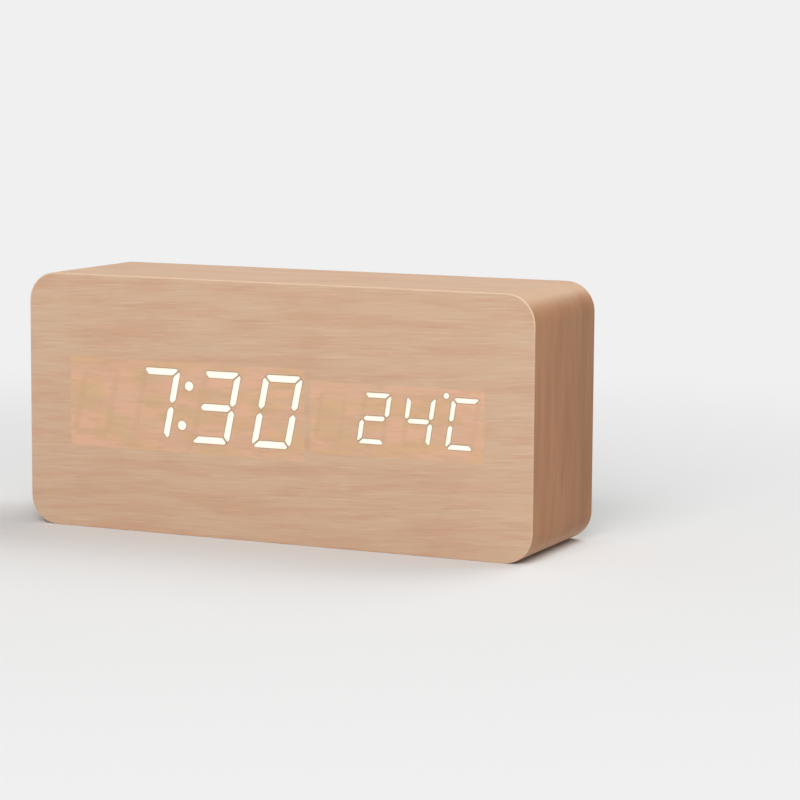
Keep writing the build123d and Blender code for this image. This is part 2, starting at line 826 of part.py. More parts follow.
with BuildPart() as rear_insert:
    with BuildSketch(layer(rear_skin)):
        with Locations((0, mid_z)):
            RectangleRounded(plate_length, plate_height, plate_radius)
    extrude(amount=plate_thickness)
    with BuildSketch(layer(plate_inner)):
        with Locations((bay_middle_x, mid_z)):
            Rectangle(bay_length + 2 * bay_wall, bay_height + 2 * bay_wall)
    extrude(amount=plate_inner - bay_outside)
    with BuildSketch(layer(plate_inner)):
        with Locations(*boss_places):
            Circle(boss_radius)
    extrude(amount=plate_inner - key_board_back)
    for gusset_z in gusset_places:
        for wall_x, side in ((bay_start_x - bay_wall, -1), (bay_end_x + bay_wall, 1)):
            with BuildSketch(Plane.XY.offset(gusset_z - gusset_width / 2)):
                Polygon(
                    (wall_x, plate_inner),
                    (wall_x + side * gusset_reach, plate_inner),
                    (wall_x, plate_inner - gusset_height),
                    align=None,
                )
            extrude(amount=gusset_width)
    with BuildSketch(layer(rear_skin)):
        with Locations((door_middle_x, mid_z)):
            RectangleRounded(
                door_length + 2 * door_gap, door_height + 2 * door_gap, door_radius + door_gap
            )
    extrude(amount=rear_skin - door_seat, mode=Mode.SUBTRACT)
    with BuildSketch(layer(rear_skin)):
        with Locations((bay_middle_x, mid_z)):
            Rectangle(bay_length, bay_height)
    extrude(amount=rear_skin - bay_bottom, mode=Mode.SUBTRACT)
    with BuildSketch(layer(bay_bottom)):
        for lower_z, upper_z in zip(cell_places, cell_places[1:]):
            with Locations((bay_middle_x, (lower_z + upper_z) / 2)):
                Rectangle(cell_length - 2 * contact_width, bay_rib_width)
    extrude(amount=-bay_rib_height)
    with BuildSketch(layer(rear_skin)):
        with Locations((bay_end_x + bay_wall, mid_z)):
            Rectangle(
                door_end_x + door_gap - bay_end_x - bay_wall,
                latch_width + 2 * (latch_side_gap + door_gap),
                align=(Align.MIN, Align.CENTER),
            )
    extrude(amount=plate_thickness, mode=Mode.SUBTRACT)
    with BuildSketch(layer(rear_skin)):
        with Locations((door_end_x + door_gap, mid_z)):
            Circle(scoop_radius)
    extrude(amount=scoop_depth, mode=Mode.SUBTRACT)
    for hook_z in hook_places:
        with BuildSketch(Plane.XY.offset(hook_z - hook_width / 2 - hook_side_gap)):
            with BuildLine():
                Polyline(
                    (hinge_x - hook_room / 2 - hook_sweep_gap, rear_skin - lip_thickness),
                    (hinge_x - door_gap, rear_skin - lip_thickness),
                    (hinge_x - door_gap, rear_skin - door_thickness),
                    (bay_start_x + cut_overrun, rear_skin - door_thickness),
                    (bay_start_x + cut_overrun, rear_skin - hook_room),
                    (hinge_x - hook_room / 2 - hook_sweep_gap, rear_skin - hook_room),
                    close=True,
                )
            make_face()
        extrude(amount=hook_width + 2 * hook_side_gap, mode=Mode.SUBTRACT)
    with BuildSketch(layer(bay_bottom)):
        with Locations((bay_end_x, cell_places[0]), (bay_end_x, cell_places[-1])):
            Rectangle(
                contact_thickness + tail_clearance,
                tail_width + 2 * tail_clearance,
                align=(Align.MAX, Align.CENTER),
            )
    extrude(amount=bay_floor, mode=Mode.SUBTRACT)
    with BuildSketch(layer(rear_skin)):
        with Locations((key_middle_x, panel_z)):
            RectangleRounded(panel_length, panel_height, panel_radius)
    extrude(amount=panel_depth, mode=Mode.SUBTRACT)
    with BuildSketch(layer(rear_skin)):
        with Locations((socket_x, socket_z)):
            RectangleRounded(
                socket_width + 2 * socket_recess_side,
                socket_height + 2 * socket_recess_side,
                socket_recess_radius,
            )
    extrude(amount=socket_recess_depth, mode=Mode.SUBTRACT)
    with BuildSketch(layer(rear_skin)):
        with Locations(*[(button_x, panel_z) for button_x in button_places]):
            RectangleRounded(
                button_length + 2 * button_gap, button_height + 2 * button_gap, button_radius + button_gap
            )
        Polygon(*socket_profile(socket_slot_gap), align=None)
        with Locations((buzzer_x, buzzer_z)):
            Circle(grille_hole_radius)
            with PolarLocations(grille_ring_radius, grille_ring_count):
                Circle(grille_hole_radius)
        with Locations((key_middle_x, microphone_z)):
            Circle(microphone_port_radius)
        with Locations((key_middle_x, thermistor_z)):
            with GridLocations(vent_pitch, 0, vent_count, 1):
                SlotOverall(vent_length, vent_width, rotation=90)
    extrude(amount=plate_thickness, mode=Mode.SUBTRACT)
    with BuildSketch(layer(key_board_back)):
        with Locations(*boss_places):
            Circle(key_screw_radius + pilot_clearance)
    extrude(amount=-key_screw_bite - screw_clearance, mode=Mode.SUBTRACT)
    with Locations(*[backward(x, rear_skin, z) for x, z in insert_screw_places]):
        CounterSinkHole(
            radius=insert_screw_radius + screw_clearance,
            counter_sink_radius=insert_screw_head_radius + screw_clearance,
            depth=plate_thickness + cut_overrun,
            counter_sink_angle=90,
        )

insert_screw = sunk_screw(insert_screw_radius, insert_screw_length, insert_screw_head_radius)
with BuildPart() as insert_screws:
    with Locations(*[backward(x, rear_skin - head_sink, z) for x, z in insert_screw_places]):
        add(insert_screw)


# Cells, contacts, springs

def cell_turned(place):
    """True where a cell's raised end points towards +X."""
    return place % 2 == 0


plus_x = bay_end_x - contact_thickness - contact_dimple_height - contact_touch
minus_x = bay_start_x + contact_thickness + contact_dimple_height + contact_touch

with BuildPart() as battery_cells:
    for place, cell_z in enumerate(cell_places):
        turn = 1 if cell_turned(place) else -1
        nub_x = plus_x if cell_turned(place) else minus_x
        with BuildSketch(Plane(origin=(nub_x, cell_y, cell_z), x_dir=(0, 1, 0), z_dir=(-turn, 0, 0))):
            Circle(cell_nub_radius)
        extrude(amount=cell_nub_length)
        shoulder_x = nub_x - turn * cell_nub_length
        with BuildSketch(Plane(origin=(shoulder_x, cell_y, cell_z), x_dir=(0, 1, 0), z_dir=(-turn, 0, 0))):
            Circle(cell_radius)
        extrude(amount=cell_length - cell_nub_length)
    chamfer(
        battery_cells.edges().filter_by(GeomType.CIRCLE).filter_by(lambda e: e.radius > cell_nub_radius),
        length=cell_edge_chamfer,
    )

contact_foot = cell_y - contact_height / 2
single_tail = contact_foot - bay_outside + tail_length

with BuildPart() as contact_plates:
    for end_x, side in ((bay_end_x, -1), (bay_start_x, 1)):
        with BuildSketch(Plane(origin=(end_x, cell_y, 0), x_dir=(0, 1, 0), z_dir=(side, 0, 0))):
            for place, cell_z in enumerate(cell_places):
                with Locations((0, side * cell_z)):
                    Rectangle(contact_height, contact_width)
        extrude(amount=contact_thickness)
        bridged = cell_places[1:3] if side < 0 else cell_places
        with BuildSketch(Plane(origin=(end_x, cell_y, 0), x_dir=(0, 1, 0), z_dir=(side, 0, 0))):
            for lower_z, upper_z in zip(bridged[::2], bridged[1::2]):
                with Locations((0, side * (lower_z + upper_z) / 2)):
                    Rectangle(contact_height / 2, cell_pitch)
        extrude(amount=contact_thickness)
        with BuildSketch(Plane(origin=(end_x, cell_y, 0), x_dir=(0, 1, 0), z_dir=(side, 0, 0))):
            for place, cell_z in enumerate(cell_places):
                if cell_turned(place) == (side < 0):
                    with Locations((0, side * cell_z)):
                        Circle(contact_dimple_radius)
        extrude(amount=contact_thickness + contact_dimple_height)
    with BuildSketch(Plane(origin=(bay_end_x, contact_foot, 0), x_dir=(0, 1, 0), z_dir=(-1, 0, 0))):
        for cell_z in (cell_places[0], cell_places[-1]):
            with Locations((0, -cell_z)):
                Rectangle(single_tail, tail_width, align=(Align.MAX, Align.CENTER))
    extrude(amount=contact_thickness)


def spring_point(turn):
    """Point of the cone-shaped spring's centre line, and its direction, at a number of turns."""
    share = turn / spring_turns
    reach = spring_base_radius + (spring_tip_radius - spring_base_radius) * share
    height = spring_wire_radius + contact_touch / 2 + share * spring_climb
    angle = 2 * pi * turn
    narrowing = (spring_tip_radius - spring_base_radius) / spring_turns / (2 * pi)
    along = Vector(
        narrowing * cos(angle) - reach * sin(angle),
        narrowing * sin(angle) + reach * cos(angle),
        spring_climb / spring_turns / (2 * pi),
    )
    return Vector(reach * cos(angle), reach * sin(angle), height), along.normalized()


spring_climb = spring_length - 2 * spring_wire_radius - contact_touch


def contact_spring():
    """One cone-shaped spring on its own Z, its wire swept along arcs that run into each other."""
    with BuildPart() as spring:
        with BuildLine() as path:
            for step in range(spring_turns * spring_steps_per_turn):
                start, start_way = spring_point(step / spring_steps_per_turn)
                stop, stop_way = spring_point((step + 1) / spring_steps_per_turn)
                span = stop - start
                ways = start_way + stop_way
                spread = 2 * (1 - start_way.dot(stop_way))
                reach = (sqrt(span.dot(ways) ** 2 + spread * span.dot(span)) - span.dot(ways)) / spread
                middle = (start + start_way * reach + stop - stop_way * reach) / 2
                middle_way = (stop - stop_way * reach) - (start + start_way * reach)
                TangentArc(start, middle, tangent=start_way)
                TangentArc(middle, stop, tangent=middle_way)
        start, start_way = spring_point(0)
        with BuildSketch(Plane(origin=start, z_dir=start_way)):
            RegularPolygon(spring_wire_radius, wire_sides)
        sweep(path=path.wire())
    return spring.part


coil = contact_spring()
spring_places = []
for place, cell_z in enumerate(cell_places):
    if cell_turned(place):
        spring_places.append(Plane(origin=(bay_start_x + contact_thickness, cell_y, cell_z), z_dir=(1, 0, 0)))
    else:
        spring_places.append(Plane(origin=(bay_end_x - contact_thickness, cell_y, cell_z), z_dir=(-1, 0, 0)))
with BuildPart() as contact_springs:
    with Locations(*spring_places):
        add(coil)

coil_gaps = []
for step in range(gap_steps_per_turn * spring_turns):
    near, near_way = spring_point(step / gap_steps_per_turn)
    for other in range(step + gap_steps_per_turn // 2, gap_steps_per_turn * spring_turns + 1):
        far, far_way = spring_point(other / gap_steps_per_turn)
        coil_gaps.append((far - near).length - 2 * spring_wire_radius)
print("least gap between the spring's turns:", round(min(coil_gaps), 2), "mm")


# The door with its hook tabs and the fixed leg of the U, and the latch that bends from it

with BuildPart() as battery_door:
    with BuildSketch(layer(rear_skin)):
        with Locations((door_middle_x, mid_z)):
            RectangleRounded(door_length, door_height, door_radius)
    extrude(amount=door_thickness)
    fillet(
        battery_door.faces().sort_by(Axis.Y)[-1].edges().filter_by(Axis.Z, reverse=True),
        radius=door_edge_round,
    )
    with BuildSketch(layer(rear_skin)):
        with Locations((leg_start_x + latch_leg, mid_z)):
            Rectangle(
                door_end_x + cut_overrun - leg_start_x - latch_leg,
                latch_width + 2 * latch_side_gap,
                align=(Align.MIN, Align.CENTER),
            )
    extrude(amount=door_thickness, mode=Mode.SUBTRACT)
    with BuildSketch(layer(rear_skin)):
        with Locations((grip_middle_x, mid_z)):
            with GridLocations(grip_pitch, 0, grip_count, 1):
                SlotOverall(grip_length, grip_width, rotation=90)
    extrude(amount=grip_depth, mode=Mode.SUBTRACT)
    with BuildSketch(layer(door_inner)):
        for lower_z, upper_z in zip(cell_places, cell_places[1:]):
            with Locations((bay_middle_x, (lower_z + upper_z) / 2)):
                Rectangle(bay_length - 2 * door_rib_inset, door_rib_width)
    extrude(amount=door_rib_height)
    with BuildSketch(layer(door_inner)):
        with Locations((leg_start_x, mid_z)):
            Rectangle(latch_leg, latch_width, align=(Align.MIN, Align.CENTER))
    extrude(amount=door_inner - latch_axis_y)
    for hook_z in hook_places:
        with BuildSketch(Plane.XY.offset(hook_z - hook_width / 2)):
            with BuildLine():
                Polyline(
                    (hinge_x + hook_root_start, door_inner),
                    (hinge_x + hook_root_start + hook_root_length, door_inner),
                    (hinge_x + hook_root_start + hook_root_length, hook_inner),
                    (hinge_x - hook_reach, hook_inner),
                    (hinge_x - hook_reach, hook_outer),
                    (hinge_x + hook_root_start, hook_outer),
                    close=True,
                )
            make_face()
        extrude(amount=hook_width)

latch_outer_radius = latch_bend_radius + latch_leg
latch_start_z = mid_z - latch_width / 2
pad_face = rear_skin - latch_pad_sink
pad_bottom = pad_face - latch_pad_thickness
leg_end_x = spring_leg_x + latch_leg
nub_top = rear_skin - latch_nub_top

with BuildPart() as door_latch:
    with BuildSketch(Plane.XY.offset(latch_start_z)):
        with Locations((latch_axis_x, latch_axis_y)):
            Circle(latch_outer_radius)
            Circle(latch_bend_radius, mode=Mode.SUBTRACT)
            Rectangle(
                2 * latch_outer_radius,
                latch_outer_radius,
                align=(Align.CENTER, Align.MIN),
                mode=Mode.SUBTRACT,
            )
        with Locations((spring_leg_x, latch_axis_y)):
            Rectangle(latch_leg, pad_bottom - latch_axis_y, align=(Align.MIN, Align.MIN))
        Polygon(
            (leg_end_x - latch_leg / 2, nub_top),
            (leg_end_x + latch_nub_reach, nub_top),
            (leg_end_x + latch_nub_reach, nub_top - latch_nub_height),
            (leg_end_x, nub_top - latch_nub_height - latch_nub_run),
            (leg_end_x - latch_leg / 2, nub_top - latch_nub_height - latch_nub_run),
            align=None,
        )
    extrude(amount=latch_width)
    with BuildSketch(layer(pad_face)):
        with Locations((leg_end_x, mid_z)):
            Rectangle(latch_pad_length, latch_width - latch_pad_side, align=(Align.MAX, Align.CENTER))
    extrude(amount=latch_pad_thickness)
    with BuildSketch(layer(pad_face)):
        with Locations((leg_end_x - latch_pad_length / 2, mid_z)):
            with GridLocations(latch_pad_length / pad_rib_count, 0, pad_rib_count, 1):
                Rectangle(pad_rib_width, latch_width - 2 * latch_pad_side)
    extrude(amount=-pad_rib_height)


# Keys: three buttons, their switches, the key board

with BuildPart() as key_board:
    with BuildSketch(layer(key_board_back)):
        with Locations((key_middle_x, mid_z)):
            RectangleRounded(key_board_length, key_board_height, board_corner_radius)
        with Locations(*boss_places):
            Circle(key_screw_radius + screw_clearance, mode=Mode.SUBTRACT)
    extrude(amount=circuit_thickness)

with BuildPart() as key_board_screws:
    with Locations(*[layer(key_board_front, x, z) for x, z in boss_places]):
        add(key_screw)

switch_top = key_board_back + switch_height
plunger_bottom = switch_top - plunger_depth
well_bottom = plunger_bottom - press_travel - press_reserve

with BuildPart() as switch_bodies:
    with BuildSketch(layer(key_board_back)):
        with Locations(*[(button_x, panel_z) for button_x in button_places]):
            RectangleRounded(switch_size, switch_size, switch_corner_radius)
    extrude(amount=-switch_height)
    with BuildSketch(layer(switch_top)):
        with Locations(*[(button_x, panel_z) for button_x in button_places]):
            Circle(plunger_radius + plunger_clearance)
    extrude(amount=switch_top - well_bottom, mode=Mode.SUBTRACT)


def make_button(button_x):
    """Rounded cap that comes through the plate, with its flange behind and a stem to the switch."""
    with BuildPart() as button:
        with BuildSketch(layer(button_face)):
            with Locations((button_x, panel_z)):
                RectangleRounded(button_length, button_height, button_radius)
        extrude(amount=button_face - flange_top)
        fillet(button.faces().sort_by(Axis.Y)[-1].edges(), radius=button_edge_round)
        with BuildSketch(layer(flange_top)):
            with Locations((button_x, panel_z)):
                RectangleRounded(
                    button_length + 2 * button_flange,
                    button_height + 2 * button_flange,
                    button_radius + button_flange,
                )
        extrude(amount=button_flange_thickness)
        with BuildSketch(layer(flange_bottom)):
            with Locations((button_x, panel_z)):
                Circle(button_stem_radius)
        extrude(amount=stem_length)
    return button.part


def make_plunger(button_x):
    """The switch's own round plunger, which the button's stem rests on."""
    with BuildPart() as plunger:
        with BuildSketch(layer(stem_bottom)):
            with Locations((button_x, panel_z)):
                Circle(plunger_radius)
        extrude(amount=stem_bottom - plunger_bottom)
    return plunger.part


# Power socket, buzzer, microphone, thermistor

socket_mouth = rear_skin - socket_mouth_sink

with BuildPart() as usb_shell:
    with BuildSketch(layer(key_board_back)):
        Polygon(*socket_profile(0), align=None)
        Polygon(*socket_profile(-socket_wall), align=None, mode=Mode.SUBTRACT)
    extrude(amount=key_board_back - socket_mouth)

with BuildPart() as usb_tongue:
    with BuildSketch(layer(key_board_back)):
        Polygon(*socket_profile(-socket_wall - socket_fit), align=None)
    extrude(amount=-socket_base)
    with BuildSketch(layer(key_board_back)):
        with Locations((socket_x, socket_z)):
            Rectangle(tongue_width, tongue_thickness)
    extrude(amount=key_board_back - socket_mouth + tongue_sink)

with BuildPart() as buzzer:
    with BuildSketch(layer(key_board_back, buzzer_x, buzzer_z)):
        Circle(buzzer_radius)
    extrude(amount=-buzzer_height)
    fillet(buzzer.faces().sort_by(Axis.Y)[-1].edges(), radius=buzzer_edge_round)
    with BuildSketch(layer(key_board_back + buzzer_height, buzzer_x, buzzer_z)):
        Circle(buzzer_port_radius)
    extrude(amount=buzzer_port_depth, mode=Mode.SUBTRACT)

with BuildPart() as microphone:
    with BuildSketch(layer(key_board_back, key_middle_x, microphone_z)):
        Circle(microphone_radius)
    extrude(amount=-microphone_height)
    fillet(microphone.faces().sort_by(Axis.Y)[-1].edges(), radius=microphone_edge_round)

bead_y = plate_inner - thermistor_room - thermistor_radius

with BuildPart() as thermistor:
    with BuildSketch(layer(key_board_back, key_middle_x, thermistor_z)):
        with GridLocations(thermistor_lead_spacing, 0, 2, 1):
            Circle(thermistor_lead_radius)
    extrude(amount=key_board_back - bead_y)
    with Locations((key_middle_x, bead_y, thermistor_z)):
        Sphere(thermistor_radius)


# Leads from the bay's two end contacts to the key board, and the flat cable with its plugs

tail_foot = bay_outside - tail_length
lead_low = tail_foot - lead_wire_drop
lead_start_x = bay_end_x - contact_thickness / 2
lead_pad_x = key_middle_x - key_board_length / 2 + lead_wire_pad_inset
lead_arc = (lead_pad_x - lead_start_x) * lead_bend_share


def battery_lead(lead_z):
    """Wire that leaves a tail towards the front and comes back to the key board in one loop."""
    with BuildPart() as wire:
        with BuildLine() as path:
            FilletPolyline(
                (lead_start_x, tail_foot, lead_z),
                (lead_start_x, lead_low, lead_z),
                (lead_pad_x, lead_low, lead_z),
                (lead_pad_x, key_board_front, lead_z),
                radius=lead_arc,
            )
        with BuildSketch(layer(tail_foot, lead_start_x, lead_z)):
            Circle(lead_wire_radius)
        sweep(path=path.wire())
    return wire.part


plug_board_top = circuit_back + cable_plug_height
plug_key_top = key_board_front - cable_plug_height
cable_middle = (plug_board_top + plug_key_top) / 2

with BuildPart() as cable_plugs:
    with BuildSketch(layer(circuit_back)):
        with Locations((cable_x, cable_board_z)):
            RectangleRounded(cable_plug_length, cable_plug_width, cable_plug_round)
    extrude(amount=-cable_plug_height)
    with BuildSketch(layer(key_board_front)):
        with Locations((cable_x, cable_key_z)):
            RectangleRounded(cable_plug_length, cable_plug_width, cable_plug_round)
    extrude(amount=cable_plug_height)

with BuildPart() as flat_cable:
    with BuildLine() as cable_path:
        FilletPolyline(
            (cable_x, plug_board_top, cable_board_z),
            (cable_x, cable_middle, cable_board_z),
            (cable_x, cable_middle, cable_key_z),
            (cable_x, plug_key_top, cable_key_z),
            radius=(plug_key_top - plug_board_top) * cable_bend_share,
        )
    with BuildSketch(backward(cable_x, plug_board_top, cable_board_z)):
        Rectangle(cable_width, cable_thickness)
    sweep(path=cable_path.wire())


# Names and files

pieces = {
    "case_ring": case_ring.part,
    "front_board": front_board.part,
    "rear_board": rear_board.part,
    "front_film": front_film.part,
    "side_wrap": side_wrap.part,
    "base_strip": base_strip.part,
    "rear_film": rear_film.part,
    "time_reflector": time_reflector.part,
    "temperature_reflector": temperature_reflector.part,
    "time_bars_lit": time_bars_lit.part,
    "time_bars_unlit": time_bars_unlit.part,
    "temperature_bars_lit": temperature_bars_lit.part,
    "temperature_bars_unlit": temperature_bars_unlit.part,
    "led_chips": led_chips.part,
    "display_board": display_board.part,
    "board_spacers": board_spacers.part,
    "board_screws": board_screws.part,
    "controller_chip": controller_chip.part,
    "driver_chips": driver_chips.part,
    "quartz_crystal": quartz_crystal.part,
    "capacitor": capacitor.part,
    "rear_insert": rear_insert.part,
    "insert_screws": insert_screws.part,
    "battery_cells": battery_cells.part,
    "contact_plates": contact_plates.part,
    "contact_springs": contact_springs.part,
    "battery_door": battery_door.part,
    "door_latch": door_latch.part,
    "key_board": key_board.part,
    "key_board_screws": key_board_screws.part,
    "switch_bodies": switch_bodies.part,
    "set_button": make_button(button_places[0]),
    "down_button": make_button(button_places[1]),
    "up_button": make_button(button_places[2]),
    "set_plunger": make_plunger(button_places[0]),
    "down_plunger": make_plunger(button_places[1]),
    "up_plunger": make_plunger(button_places[2]),
    "usb_shell": usb_shell.part,
    "usb_tongue": usb_tongue.part,
    "buzzer": buzzer.part,
    "microphone": microphone.part,
    "thermistor": thermistor.part,
    "positive_lead": battery_lead(cell_places[0]),
    "negative_lead": battery_lead(cell_places[-1]),
    "flat_cable": flat_cable.part,
    "cable_plugs": cable_plugs.part,
}

os.makedirs("parts", exist_ok=True)
for name, piece in pieces.items():
    piece.label = name
    export_step(piece, f"parts/{name}.step")
print(len(pieces), "pieces")
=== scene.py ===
import bpy
import bmesh
from math import cos, pi, radians, sin, tan
from mathutils import Matrix, Vector


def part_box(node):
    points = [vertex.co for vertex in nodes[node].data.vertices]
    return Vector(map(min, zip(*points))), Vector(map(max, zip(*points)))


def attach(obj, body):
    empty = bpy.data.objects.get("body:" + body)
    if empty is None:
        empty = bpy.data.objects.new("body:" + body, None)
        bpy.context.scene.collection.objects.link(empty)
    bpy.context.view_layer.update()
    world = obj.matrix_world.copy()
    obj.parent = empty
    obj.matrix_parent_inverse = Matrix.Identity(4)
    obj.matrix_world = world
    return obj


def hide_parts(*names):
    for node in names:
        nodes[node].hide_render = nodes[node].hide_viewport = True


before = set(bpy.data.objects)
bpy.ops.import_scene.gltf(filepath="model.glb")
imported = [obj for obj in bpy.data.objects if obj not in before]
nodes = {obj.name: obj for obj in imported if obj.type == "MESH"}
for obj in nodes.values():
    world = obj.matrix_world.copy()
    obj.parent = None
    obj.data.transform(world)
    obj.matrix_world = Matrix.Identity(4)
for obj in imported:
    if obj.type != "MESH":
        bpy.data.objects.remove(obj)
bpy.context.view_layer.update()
mm = 0.001
print("frame:", len(nodes), "nodes")


def shade(red, green, blue):
    # a screen colour of 0 to 255 as the linear colour that shaders take
    levels = [channel / 255 for channel in (red, green, blue)]
    return tuple(level / 12.92 if level <= 0.04045 else ((level + 0.055) / 1.055) ** 2.4 for level in levels)


def corners(nodeName):
    # a node's lowest and highest corner in millimetres
    low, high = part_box(nodeName)
    return low / mm, high / mm


# A shader socket whose arithmetic adds Math nodes

class Value:
    def __init__(self, paint, socket):
        self.paint = paint
        self.socket = socket

    def maths(self, operation, first, second=0.0):
        return self.paint.add("ShaderNodeMath", {"operation": operation}, {0: first, 1: second})

    def __add__(self, other):
        return self.maths("ADD", self, other)

    def __radd__(self, other):
        return self.maths("ADD", other, self)

    def __sub__(self, other):
        return self.maths("SUBTRACT", self, other)

    def __rsub__(self, other):
        return self.maths("SUBTRACT", other, self)

    def __mul__(self, other):
        return self.maths("MULTIPLY", self, other)

    def __rmul__(self, other):
        return self.maths("MULTIPLY", other, self)

    def __truediv__(self, other):
        return self.maths("DIVIDE", self, other)

    def __abs__(self):
        return self.maths("ABSOLUTE", self)

    def atLeast(self, other):
        return self.maths("MAXIMUM", self, other)

    def atMost(self, other):
        return self.maths("MINIMUM", self, other)

    def within(self, low, high):
        return self.atLeast(low).atMost(high)

    def root(self):
        return self.maths("SQRT", self)

    def angleFrom(self, other):
        return self.maths("ARCTAN2", self, other)

    def repeated(self, pitch):
        return self.maths("FLOORED_MODULO", self, pitch)


# A material in the making, or the world

class Paint:
    def __init__(self, name, world=False):
        self.owner = (bpy.data.worlds if world else bpy.data.materials).new(name)
        self.owner.use_nodes = True
        self.tree = self.owner.node_tree
        self.tree.nodes.clear()
        self.end = self.tree.nodes.new("ShaderNodeOutputWorld" if world else "ShaderNodeOutputMaterial")

    def add(self, kind, settings=None, sockets=None, output=0):
        node = self.tree.nodes.new(kind)
        for key, setting in (settings or {}).items():
            setattr(node, key, setting)
        for key, given in (sockets or {}).items():
            socket = node.inputs[key]
            if isinstance(given, Value):
                self.tree.links.new(given.socket, socket)
            elif socket.type == "RGBA" and len(given) == 3:
                socket.default_value = (*given, 1)
            else:
                socket.default_value = given
        return Value(self, node.outputs[output])

    def places(self):
        # X, Y and Z of a surface point in millimetres
        here = self.add("ShaderNodeTexCoord", output="Object")
        scaled = self.add("ShaderNodeMapping", None, {"Vector": here, "Scale": (1 / mm, 1 / mm, 1 / mm)})
        split = self.add("ShaderNodeSeparateXYZ", None, {0: scaled})
        return [Value(self, output) for output in split.socket.node.outputs]

    def noise(self, x, y, z, detail, rough):
        spot = self.add("ShaderNodeCombineXYZ", None, {0: x, 1: y, 2: z})
        sockets = {"Vector": spot, "Scale": 1.0, "Detail": detail, "Roughness": rough}
        return self.add("ShaderNodeTexNoise", None, sockets)

    def streaks(self, along, across, size, seed, detail=2.0, rough=0.5):
        # noise on a sheet, size being its length and width in millimetres
        length, width = size
        return self.noise(along / length, across / width, seed, detail, rough)

    def clouds(self, place, size, detail=2.0, rough=0.5):
        # noise through a whole piece, size being one for all directions or one for each
        sizes = size if isinstance(size, tuple) else (size, size, size)
        x, y, z = [axis / length for axis, length in zip(place, sizes)]
        return self.noise(x, y, z, detail, rough)

    def fade(self, value, low, high):
        # 0 below low, 1 above high, smooth between
        span = {"Value": value, "From Min": low, "From Max": high}
        return self.add("ShaderNodeMapRange", {"interpolation_type": "SMOOTHSTEP"}, span)

    def mix(self, share, first, second, blend="MIX"):
        settings = {"data_type": "RGBA", "blend_type": blend}
        return self.add("ShaderNodeMix", settings, {0: share, 6: first, 7: second}, 2)

    def bump(self, height, depth):
        return self.add("ShaderNodeBump", None, {"Height": height, "Distance": depth * mm, "Strength": 1.0})

    def finish(self, shader):
        self.tree.links.new(shader.socket, self.end.inputs["Surface"])
        return self.owner

    def surface(self, **sockets):
        named = {key.replace("_", " "): given for key, given in sockets.items()}
        return self.finish(self.add("ShaderNodeBsdfPrincipled", None, named))


# Camera, floor, lamps and background

cameraLook = {
    "place": (342.7, -691.5, 135.0), "yaw": 24.499, "pitch": 7.288, "roll": 0.366,
    "focalPixels": 2847.06, "imagePixels": 800, "sensor": 36, "clipStart": 0.01,
}


def makeCamera(look):
    yaw, pitch, roll = (radians(look[key]) for key in ("yaw", "pitch", "roll"))
    right = Vector((cos(yaw), sin(yaw), 0))
    up = Vector((-sin(yaw) * sin(pitch), cos(yaw) * sin(pitch), cos(pitch)))
    back = right.cross(up)
    turnedRight = cos(roll) * right + sin(roll) * up
    turnedUp = cos(roll) * up - sin(roll) * right
    data = bpy.data.cameras.new("camera")
    data.sensor_width = look["sensor"]
    data.lens = look["focalPixels"] / look["imagePixels"] * look["sensor"]
    data.clip_start = look["clipStart"]
    camera = bpy.data.objects.new("camera", data)
    bpy.context.scene.collection.objects.link(camera)
    turn = Matrix((turnedRight, turnedUp, back)).transposed().to_4x4()
    camera.matrix_world = Matrix.Translation(Vector(look["place"]) * mm) @ turn
    bpy.context.scene.camera = camera


studioLook = {
    "background": shade(240, 240, 240), "fill": 0.29, "fillTint": (1.0, 0.985, 0.96),
    "paper": (0.83, 0.845, 0.865), "paperRadius": 4.0, "paperSides": 64, "paperClear": 0.13, "paperFar": 0.42,
    "mottle": (6, 6), "mottleShare": 0.03, "opening": (66.8, 21.3), "openingSoft": 0.2,
    "keyPlace": (0.3, -1.35, 1.05), "keySize": 1.1, "keyPower": 18.5,
    "topPlace": (0.5, 0.8, 1.4), "topSize": 1.2, "topPower": 13.6, "lampTint": (1.0, 0.985, 0.96),
}


def makeLamp(name, place, size, power, litAndShadedTint):
    data = bpy.data.lights.new(name, "AREA")
    data.size = size
    data.energy = power
    data.color = litAndShadedTint
    lamp = bpy.data.objects.new(name, data)
    lamp.location = place
    lamp.rotation_euler = (-Vector(place)).to_track_quat("-Z", "Y").to_euler()
    bpy.context.scene.collection.objects.link(lamp)


def makePaper(look):
    mesh = bmesh.new()
    bmesh.ops.create_circle(mesh, cap_ends=True, segments=look["paperSides"], radius=look["paperRadius"])
    data = bpy.data.meshes.new("paper")
    mesh.to_mesh(data)
    mesh.free()
    floor = bpy.data.objects.new("paper", data)
    bpy.context.scene.collection.objects.link(floor)
    paint = Paint("paper")
    x, y = paint.places()[:2]
    reach = (x * x + y * y).root() * mm
    mottle = paint.streaks(x, y, look["mottle"], 0.0, detail=3)
    colour = paint.mix(look["mottleShare"] * mottle, look["paper"], look["background"])
    near = paint.add("ShaderNodeBsdfDiffuse", None, {"Color": colour})
    far = paint.add("ShaderNodeEmission", None, {"Color": look["background"]})
    distance = paint.fade(reach, look["paperClear"], look["paperFar"])
    seen = paint.add("ShaderNodeMixShader", None, {0: distance, 1: near, 2: far})
    behind = paint.add("ShaderNodeNewGeometry", output="Backfacing")
    # clear from below, and an opening under the block lets the fill reach its base
    openX, openY = look["opening"]
    under = paint.fade((openX - abs(x)).atMost(openY - abs(y)), 0.0, look["openingSoft"])
    clear = paint.add("ShaderNodeBsdfTransparent")
    sheet = paint.add("ShaderNodeMixShader", None, {0: behind.atLeast(under), 1: seen, 2: clear})
    data.materials.append(paint.finish(sheet))


